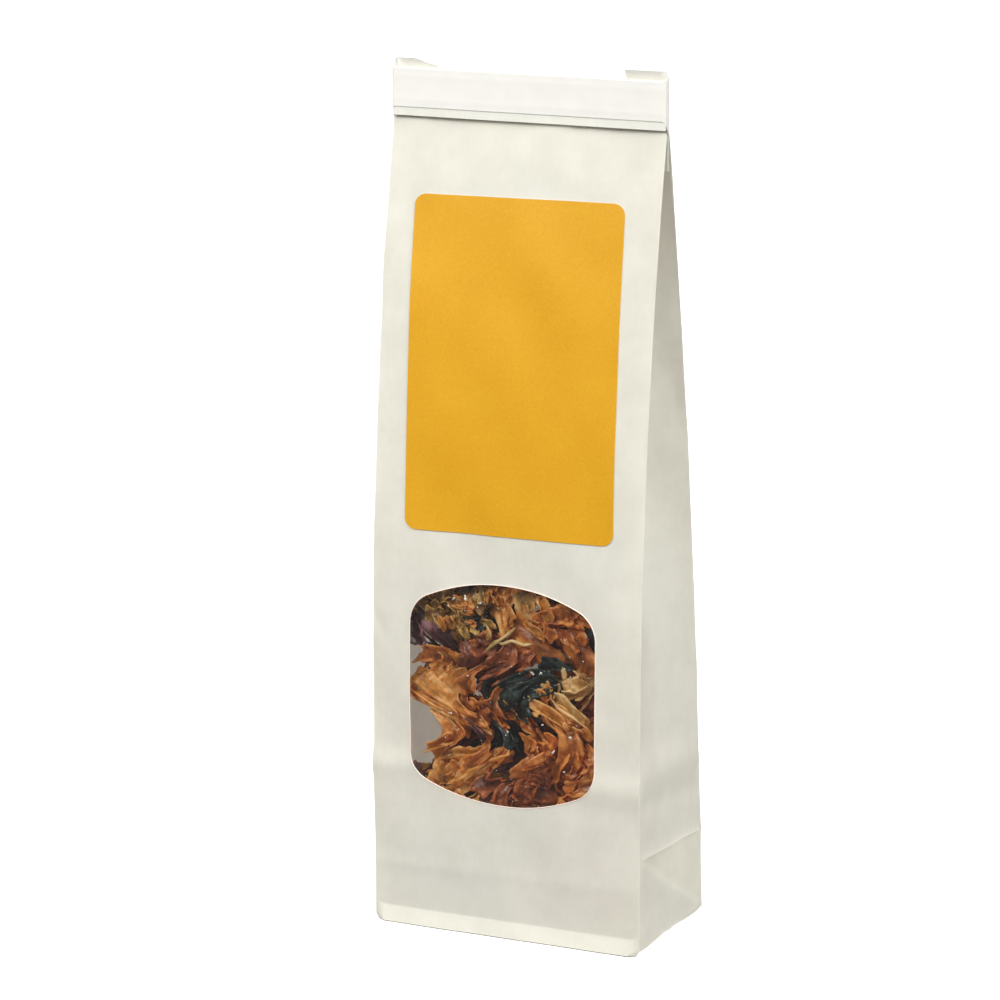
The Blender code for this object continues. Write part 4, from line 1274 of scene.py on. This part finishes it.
def as_seen(x, z, depth):
    """Where a point has to be in the plain block so that it shows at x and z in the window once it is carried
    into the bag: the miss is taken off again and again."""
    aim_x = x + SIGHT_SLOPE[0] * (depth + WALL_CLEARANCE)
    aim_z = z + SIGHT_SLOPE[1] * (depth + WALL_CLEARANCE)
    from_x, from_z = aim_x, aim_z
    for _ in range(12):
        ended = into_bag(from_x, depth, from_z)
        from_x = from_x + 0.7 * (aim_x - ended[..., 0])
        from_z = from_z + 0.7 * (aim_z - ended[..., 2])
    return np.stack([from_x, depth + 0 * from_x, from_z], -1)


CURL_ROWS, CURL_COLUMNS = 26, 11
EDGE_RUFFLE = 0.45 * MM
CRINKLE = 0.28 * MM


def curled_strip(rng, places, lengths, broads, headings, bends):
    """Torn blades that curled as they dried, one for each place (x, depth, z). The middle line of each is an
    arc of angle bend that starts and ends behind the place and bows towards the window, its width swells like
    half a sine, its edges lift with a wave along them, and crossed waves crinkle it all over. Returns points,
    quads and rim values."""
    count = len(places)
    lengths, broads, headings, bends = (np.reshape(v, (-1, 1, 1)) for v in (lengths, broads, headings, bends))
    s = np.linspace(0, 1, CURL_ROWS)[None, :, None]
    t = np.linspace(-1, 1, CURL_COLUMNS)[None, None, :]
    angle = bends * (s - 0.5)
    along = lengths * np.sin(angle) / bends
    rise = lengths * (np.cos(angle) - 1) / bends
    tilt = rng.uniform(-0.5, 0.5, (count, 1, 1))
    phase = rng.uniform(0, TURN, (count, 1, 1))
    swell = 0.3 + 0.7 * np.sin(math.pi * (0.06 + 0.86 * s)) + 0.12 * np.sin(9 * s + phase)
    across = broads / 2 * t * swell
    wave = np.sin(TURN * s * lengths / (4.2 * MM) + phase + 1.4 * np.sign(t))
    lift = rng.uniform(-0.25, 0.5, (count, 1, 1)) * broads * t**2
    lift = lift + EDGE_RUFFLE * np.abs(t) ** 3 * wave
    folded = 0.25 * MM * np.sin(TURN * (across / (2.3 * MM) + 0.8 * s) + phase)
    run = s * lengths
    crossed = np.sin(TURN * (run / (2.9 * MM) + across / (2.2 * MM)) + 2 * phase)
    crossed = crossed + np.sin(TURN * (run / (3.8 * MM) - across / (3.0 * MM)) + phase)
    crinkled = CRINKLE * np.arcsin(0.49 * crossed)
    forward = rise + lift + across * tilt + folded + crinkled
    x = along * np.cos(headings) - across * np.sin(headings)
    z = along * np.sin(headings) + across * np.cos(headings)
    places = np.asarray(places)
    points = [x + places[:, 0, None, None], places[:, 1, None, None] - forward, z + places[:, 2, None, None]]
    points = np.stack(points, -1).reshape(-1, 3)
    points[:, 1] = np.maximum(points[:, 1], FRONT_LIMIT)
    quads = repeated_grid(count, CURL_ROWS, CURL_COLUMNS)
    edge = np.maximum(np.abs(t) ** 2, np.abs(2 * s - 1) ** 6) + 0 * x
    return points, quads, edge.reshape(-1)


# Single blades that catch the eye: tint, where the middle shows in the window (x, z), depth behind the film,
# length, width (all mm), heading in degrees and how far the blade curls in degrees
KEY_BLADES = [
    ("amber", 20.3, 57.5, 1.2, 24, 8.5, 82, 100),
    ("amber", 15.8, 51, 2.0, 19, 6.5, 98, 130),
    ("amber", 21.5, 45.5, 1.5, 15, 5.5, 20, 120),
    ("amber", -4.5, 66.2, 0.1, 12, 5.5, 22, 120),
    ("amber", -12.5, 62.0, 1.0, 9, 4.5, 12, 90),
    ("russet", -1.0, 78.6, 1.0, 15, 7.5, 35, 110),
    ("amber", 9.5, 85.0, 1.6, 16, 12, 160, 60),
    ("russet", -11.0, 79.5, 0.8, 10, 7.5, 120, 140),
    ("amber", -19.5, 79.3, 0.6, 19, 4.5, 14, 90),
    ("honey", -23.5, 70.5, 0.6, 14, 8.0, 150, 100),
    ("honey", 12.0, 66.5, 0.6, 15, 4.5, 158, 120),
    ("straw", 19.0, 67.5, 0.2, 9, 6.0, 150, 60),
    ("straw", 20.0, 74.5, 0.4, 7, 4.5, 20, 60),
    ("amber", 14.5, 93.0, 0.6, 17, 4.0, 24, 90),
    ("straw", 5.5, 97.0, 1.2, 10, 7.5, 100, 60),
    ("honey", 1.0, 91.5, 0.6, 7, 4.5, 60, 100),
    ("plum", -21.5, 87.5, 1.0, 11, 8.5, 110, 90),
    ("plum", -27.0, 84.5, 1.4, 8, 5.0, 80, 80),
    ("bottle", 3.0, 73.5, 1.6, 19, 7.0, 32, 70),
    ("bottle", 14.0, 79.8, 1.2, 13, 3.8, 28, 90),
    ("bottle", -6.4, 70.0, 0.4, 13, 1.6, 95, 60),
    ("bottle", 1.5, 58.0, 0.6, 11, 2.6, 125, 150),
    ("bottle", -10.5, 88.5, 1.6, 15, 5.0, 10, 70),
    ("plum", -8.0, 58.5, 0.9, 8, 2.2, 130, 100),
    ("amber", 6.0, 49.5, 0.8, 9, 7.5, 135, 70),
    ("honey", -15.0, 51.5, 0.4, 16, 4.0, 30, 120),
    ("honey", -20.0, 47.0, 0.6, 14, 4.2, 145, 120),
    ("honey", -13.0, 45.0, 0.8, 14, 4.0, 75, 120),
    ("amber", -9.0, 50.0, 0.9, 11, 4.5, 110, 120),
    ("honey", -14.0, 94.5, 0.3, 12, 3.5, 5, 130),
    ("olive", -19.0, 95.5, 0.4, 10, 3.5, 40, 140),
    ("olive", -8.0, 95.0, 0.6, 10, 4.0, 165, 130),
    ("honey", -20.5, 64.6, 0.6, 13, 6.0, 160, 110),
    ("amber", -15.5, 62.6, 1.0, 10, 5.0, 20, 120),
    ("honey", -24.0, 67.0, 0.8, 10, 5.5, 140, 110),
    ("amber", -11.5, 72.5, 1.4, 11, 8.0, 100, 90),
    ("russet", 8.0, 43.5, 0.9, 12, 7.0, 30, 120),
    ("russet", -5.0, 44.5, 1.2, 12, 6.0, 150, 110),
    ("amber", 23.5, 82.0, 1.6, 14, 8.0, 80, 70),
    ("bottle", 9.0, 72.8, 0.8, 14, 6.5, 30, 50),
    ("bottle", 3.5, 68.2, 1.0, 10, 6.0, 60, 50),
    ("bottle", 14.5, 73.2, 0.9, 8, 4.5, 5, 60),
    ("honey", -17.5, 60.0, 0.8, 9, 6.0, 100, 100),
    ("amber", -14.5, 57.0, 1.0, 10, 6.5, 80, 100),
    ("honey", -19.0, 54.0, 0.8, 8, 5.0, 45, 120),
]
SCATTER = 80
CLUMP = 34  # small crumpled blades in the golden clump at the window's upper left


def kept_free(x, z):
    """Whether no small blade may lie at that place (mm): the bare bag at the left, the long loop at the
    right, the dark band across the middle, and the small dark blades below it."""
    bare = (x < -20 and 52 < z < 63) or (x < -23 and 75 < z < 81)
    on_loop = math.hypot((x - 20.5) / 6.5, (z - 54) / 12) < 1
    on_band = -7 < x < 20 and abs(z - 72.3 - 0.55 * x) < 3.5
    return bare or on_loop or on_band or math.hypot(x + 1, z - 60) < 4.5


def make_curls(finishes):
    """The single blades, and smaller ones scattered among them in the tint of the nearest listed frond."""
    rng = np.random.default_rng(77)
    rows = list(KEY_BLADES)
    near = np.array([(x, z) for _, x, z, *_ in FRONT_FRONDS])
    for _ in range(SCATTER):
        x, z = rng.uniform((-27, 37), (27, 101))
        depth, size = rng.uniform((0.2, 5.0), (4.5, 10.5))
        broad, heading, bend = rng.uniform((0.4, 0, 60), (0.75, 360, 190))
        tint = FRONT_FRONDS[np.hypot(*(near - (x, z)).T).argmin()][0]
        if not kept_free(x, z):
            rows.append((tint, x, z, depth, size, size * broad, heading, bend))
    for number in range(CLUMP):
        x, z = rng.uniform((-23, 88), (-7, 97.5))
        size, heading, bend = rng.uniform((2.5, 0, 100), (4.5, 360, 200))
        tint = ("olive", "honey")[number % 2]
        rows.append((tint, x, z, rng.uniform(0.1, 1.5), size, size * 0.7, heading, bend))
    for tint, finish in finishes.items():
        own = np.array([row[1:] for row in rows if row[0] == tint], float)
        places = as_seen(own[:, 0] * MM, own[:, 1] * MM, own[:, 2] * MM)
        headings, bends = np.radians(own[:, 5]), np.radians(own[:, 6])
        curls = curled_strip(rng, places, own[:, 3] * MM, own[:, 4] * MM, headings, bends)
        blade_piece("curled_blades_" + tint, tint, *curls, finish)


# The pale forked stipe in front of the russet blades: three runs of points (x, z) as they show, in mm
STIPE_RUNS = [
    [(3.2, 89.4), (0.6, 87.0), (-2.6, 84.6), (-6.9, 80.9)],
    [(-2.2, 84.6), (-0.6, 84.3), (2.0, 85.6), (5.6, 84.6), (8.2, 85.3)],
    [(-5.2, 82.4), (-3.4, 84.6), (-1.2, 85.3)],
]
STIPE_RADIUS = 0.42 * MM


def tube(middle, radius):
    """A round tube along a line of points, whose radius grows evenly over a seventh of it at each end."""
    ahead = np.gradient(middle, axis=0)
    ahead /= np.linalg.norm(ahead, axis=1, keepdims=True)
    beside = np.cross(ahead, (0.0, 1.0, 0.0))
    beside /= np.linalg.norm(beside, axis=1, keepdims=True)
    above = np.cross(beside, ahead)
    share = np.linspace(0, 1, len(middle))
    swell = (radius * np.minimum(1, 0.15 + 6 * np.minimum(share, 1 - share)))[:, None, None]
    return rings_round(middle, beside, above, swell).reshape(-1, 3), capped_tube(len(middle))


def make_stipe(finish):
    """The stipe's runs as tubes through evenly spaced points of a smoothed line, a knobbly one."""
    points, faces, count = [], [], 0
    for run in STIPE_RUNS:
        run = np.array(run)
        share = np.linspace(0, len(run) - 1, 30)
        line = np.stack([np.interp(share, range(len(run)), run[:, k]) for k in (0, 1)], -1)
        for _ in range(3):
            line[1:-1] = (line[:-2] + 2 * line[1:-1] + line[2:]) / 4
        depth = (0.4 + 0.4 * np.sin(share * 2.3)) * MM
        flat = as_seen(line[:, 0] * MM, line[:, 1] * MM, depth)
        rings, around = tube(into_bag(*flat.T), STIPE_RADIUS)
        points.append(rings)
        faces += [[corner + count for corner in face] for face in around]
        count += len(rings)
    # The whole stipe counts as rim, so it takes the seaweed finish's paler rim tone, which is partly a painted
    # highlight.
    values = {"rim": np.ones(count)}
    new_piece("forked_stipe", np.concatenate(points), faces, [finish], None, values)


CRYSTALS = 45
# Where the bright glints show (x, z in mm): on the blades, then in the golden clump. White grains put here are
# painted highlights.
GLINTS = [(10.4, 77.2), (-16.6, 62.8), (10.7, 62.8), (-18.4, 55.9), (14.3, 55.6), (8.2, 77.4), (0.4, 59.2)]
GLINTS += [(-15.5, 95.2), (-12.0, 96.2), (-17.8, 93.0), (-8.5, 94.0), (20.2, 60.5)]


def make_crystals(finish):
    """Salt grains: stretched octahedra in random places on the front blades, and two at each bright glint,
    where they are painted highlights.
    """
    rng = np.random.default_rng(91)
    spots = np.stack([rng.uniform(-15, 26, CRYSTALS), rng.uniform(38, 100, CRYSTALS)], -1)
    bright = np.repeat(GLINTS, 2, axis=0) + rng.normal(0, 0.35, (2 * len(GLINTS), 2))
    spots = np.concatenate([spots, bright])
    sizes = np.concatenate([rng.uniform(0.15, 0.35, CRYSTALS), rng.uniform(0.3, 0.6, len(bright))])
    depth = np.concatenate([rng.uniform(-0.2, 1.5, CRYSTALS), rng.uniform(-0.6, 0.2, len(bright))]) * MM
    centres = into_bag(*as_seen(spots[:, 0] * MM, spots[:, 1] * MM, depth).T)
    corners = np.array([(1, 0, 0), (0, 1, 0), (-1, 0, 0), (0, -1, 0), (0, 0, 1), (0, 0, -1)], float)
    turned, _ = np.linalg.qr(rng.normal(size=(len(centres), 3, 3)))
    turned *= np.linalg.det(turned)[:, None, None]
    stretch = rng.uniform(0.5, 1.2, (len(centres), 1, 3)) * sizes[:, None, None] * MM
    grains = centres[:, None] + (corners[None] * stretch) @ turned
    around = [(k, (k + 1) % 4) for k in range(4)]
    one = np.array([(a, b, 4) for a, b in around] + [(b, a, 5) for a, b in around])
    faces = (one[None] + (np.arange(len(centres)) * 6)[:, None, None]).reshape(-1, 3)
    grains_piece = new_piece("salt_grains_and_painted_glints", grains.reshape(-1, 3), faces, [finish])
    grains_piece.data.shade_flat()


# Camera, light and floor

AZIMUTH = math.radians(23.98)
ELEVATION = math.radians(13.82)
ROLL = math.radians(-0.2)
DISTANCE = 1.1037
LENS = 144.46
SENSOR = 36.0
LOOK_AT = Vector((0, 0, 0.12))
FRAME_PIXELS = 1000
SEEN_AT = (538.2, 499.0)  # where that point shows in the picture


def make_camera():
    """Stands where the photographer stood, and is aimed so that the point LOOK_AT shows at SEEN_AT."""
    sin_a, cos_a = math.sin(AZIMUTH), math.cos(AZIMUTH)
    sin_e, cos_e = math.sin(ELEVATION), math.cos(ELEVATION)
    back = Vector((sin_a * cos_e, -cos_a * cos_e, sin_e))
    right = Vector((cos_a, sin_a, 0))
    up = back.cross(right)
    right, up = right * math.cos(ROLL) + up * math.sin(ROLL), up * math.cos(ROLL) - right * math.sin(ROLL)
    per_pixel = SENSOR / LENS / FRAME_PIXELS
    turn_right = (FRAME_PIXELS / 2 - SEEN_AT[0]) * per_pixel
    turn_up = (SEEN_AT[1] - FRAME_PIXELS / 2) * per_pixel
    eye = LOOK_AT + back * DISTANCE
    back = (back - right * turn_right - up * turn_up).normalized()
    right = (right - back * right.dot(back)).normalized()
    up = back.cross(right)
    camera = bpy.data.objects.new("camera", bpy.data.cameras.new("camera"))
    bpy.context.scene.collection.objects.link(camera)
    camera.matrix_world = Matrix.Translation(eye) @ Matrix((right, up, back)).transposed().to_4x4()
    camera.data.lens = LENS
    camera.data.sensor_width = SENSOR
    camera.data.clip_start = 0.05
    camera.data.clip_end = 50
    bpy.context.scene.camera = camera


SURROUND = 0.24
FAR_LIGHTS = {  # the way each one shines, its strength and how wide it looks, in degrees
    "key": ((0.5, 0.9, -0.85), 1.6, 35),
    "side_fill": ((-0.95, 0.25, -0.65), 2.85, 30),
}
SOFT_BOX_PLACE = Vector((-0.5, -0.75, 0.95))  # near enough to light the bag's top more than its foot
SOFT_BOX_SIZE = 0.5
SOFT_BOX_WATTS = 7.4


def make_light():
    """A white studio: a dim even surround, a soft key from the upper left front, and a fill for the side."""
    world = bpy.data.worlds.new("studio")
    world.use_nodes = True
    surround = world.node_tree.nodes["Background"]
    surround.inputs["Color"].default_value = (1, 1, 1, 1)
    surround.inputs["Strength"].default_value = SURROUND
    bpy.context.scene.world = world
    for name, (heading, strength, width) in FAR_LIGHTS.items():
        light = bpy.data.objects.new(name, bpy.data.lights.new(name, "SUN"))
        light.data.energy = strength
        light.data.angle = math.radians(width)
        light.rotation_euler = Vector(heading).to_track_quat("-Z", "Y").to_euler()
        bpy.context.scene.collection.objects.link(light)
    box = bpy.data.objects.new("soft_box", bpy.data.lights.new("soft_box", "AREA"))
    box.data.energy = SOFT_BOX_WATTS
    box.data.size = SOFT_BOX_SIZE
    box.location = SOFT_BOX_PLACE
    box.rotation_euler = (LOOK_AT - SOFT_BOX_PLACE).to_track_quat("-Z", "Y").to_euler()
    bpy.context.scene.collection.objects.link(box)
    bpy.context.scene.view_settings.view_transform = "Standard"


def make_floor():
    """A white table of opal acrylic, lit a little from below, that throws no light back at the bag: in the
    photograph the ground is cut out to plain white, while the bag's folds are lit from above."""
    finish, tree, out = new_material("opal_acrylic_table")
    place = add(tree, "ShaderNodeTexCoord").outputs["Object"]
    tooth = add(tree, "ShaderNodeTexNoise", {"Scale": 1 / (1.5 * MM), "Detail": 2}, {"Vector": place})
    bump = add(
        tree, "ShaderNodeBump", {"Strength": 0.1, "Distance": 0.1 * MM}, {"Height": tooth.outputs["Fac"]}
    )
    face = add(
        tree,
        "ShaderNodeBsdfPrincipled",
        {
            "Base Color": linear("#FAFAF9"),
            "Roughness": 0.9,
            "Specular IOR Level": 0.1,
            "Emission Color": (1, 1, 1, 1),
            "Emission Strength": 0.5,
        },
        {"Normal": bump.outputs["Normal"]},
    )
    tree.links.new(face.outputs[0], out.inputs["Surface"])
    half = 8.0
    corners = [(-half, -half, 0), (half, -half, 0), (half, half, 0), (-half, half, 0)]
    mesh = bpy.data.meshes.new("floor")
    mesh.from_pydata(corners, [], [(0, 1, 2, 3)])
    mesh.materials.append(finish)
    floor = bpy.data.objects.new("floor", mesh)
    bpy.context.scene.collection.objects.link(floor)
    floor.visible_diffuse = False
    floor.visible_glossy = False


def main():
    make_camera()
    make_light()
    make_floor()
    paper = bleached_kraft("bleached_kraft", "#F3F2E5", "#EAE9DB", 0.28, 0.35)
    inside = bleached_kraft("bleached_kraft_inside", "#F6EEEE", "#ECE4E4", 0.85, 0.35)
    edge = cut_kraft()
    make_shell(paper, inside, edge)
    # The folded mouth's sheets and the folded-in corners: more opaque, as several layers are, and painted a
    # touch lighter than the body's kraft, a painted light that lifts the shade on the lip under the tie.
    layers = bleached_kraft("bleached_kraft_layers_lightened", "#F5F4E9", "#ECEBE0", 0.1, 0.35)
    make_mouth(layers, layers)
    make_bottom_folds(layers)
    make_cut_rim(edge)
    make_back_seam(paper, edge)
    make_film(clear_film())
    make_label(satin_label_paper(), edge)
    sleeve = laminated_tie()
    make_tie(sleeve, sleeve, galvanised_wire())
    seaweed = {tint: dried_frond(tint, *shades) for tint, shades in SEAWEED.items()}
    make_fill(seaweed)
    make_curls(seaweed)
    make_stipe(dried_frond("stipe", "#A8843C", "#D8C078", "#F6EAB8"))
    make_crystals(salt_and_painted_glint())


main()
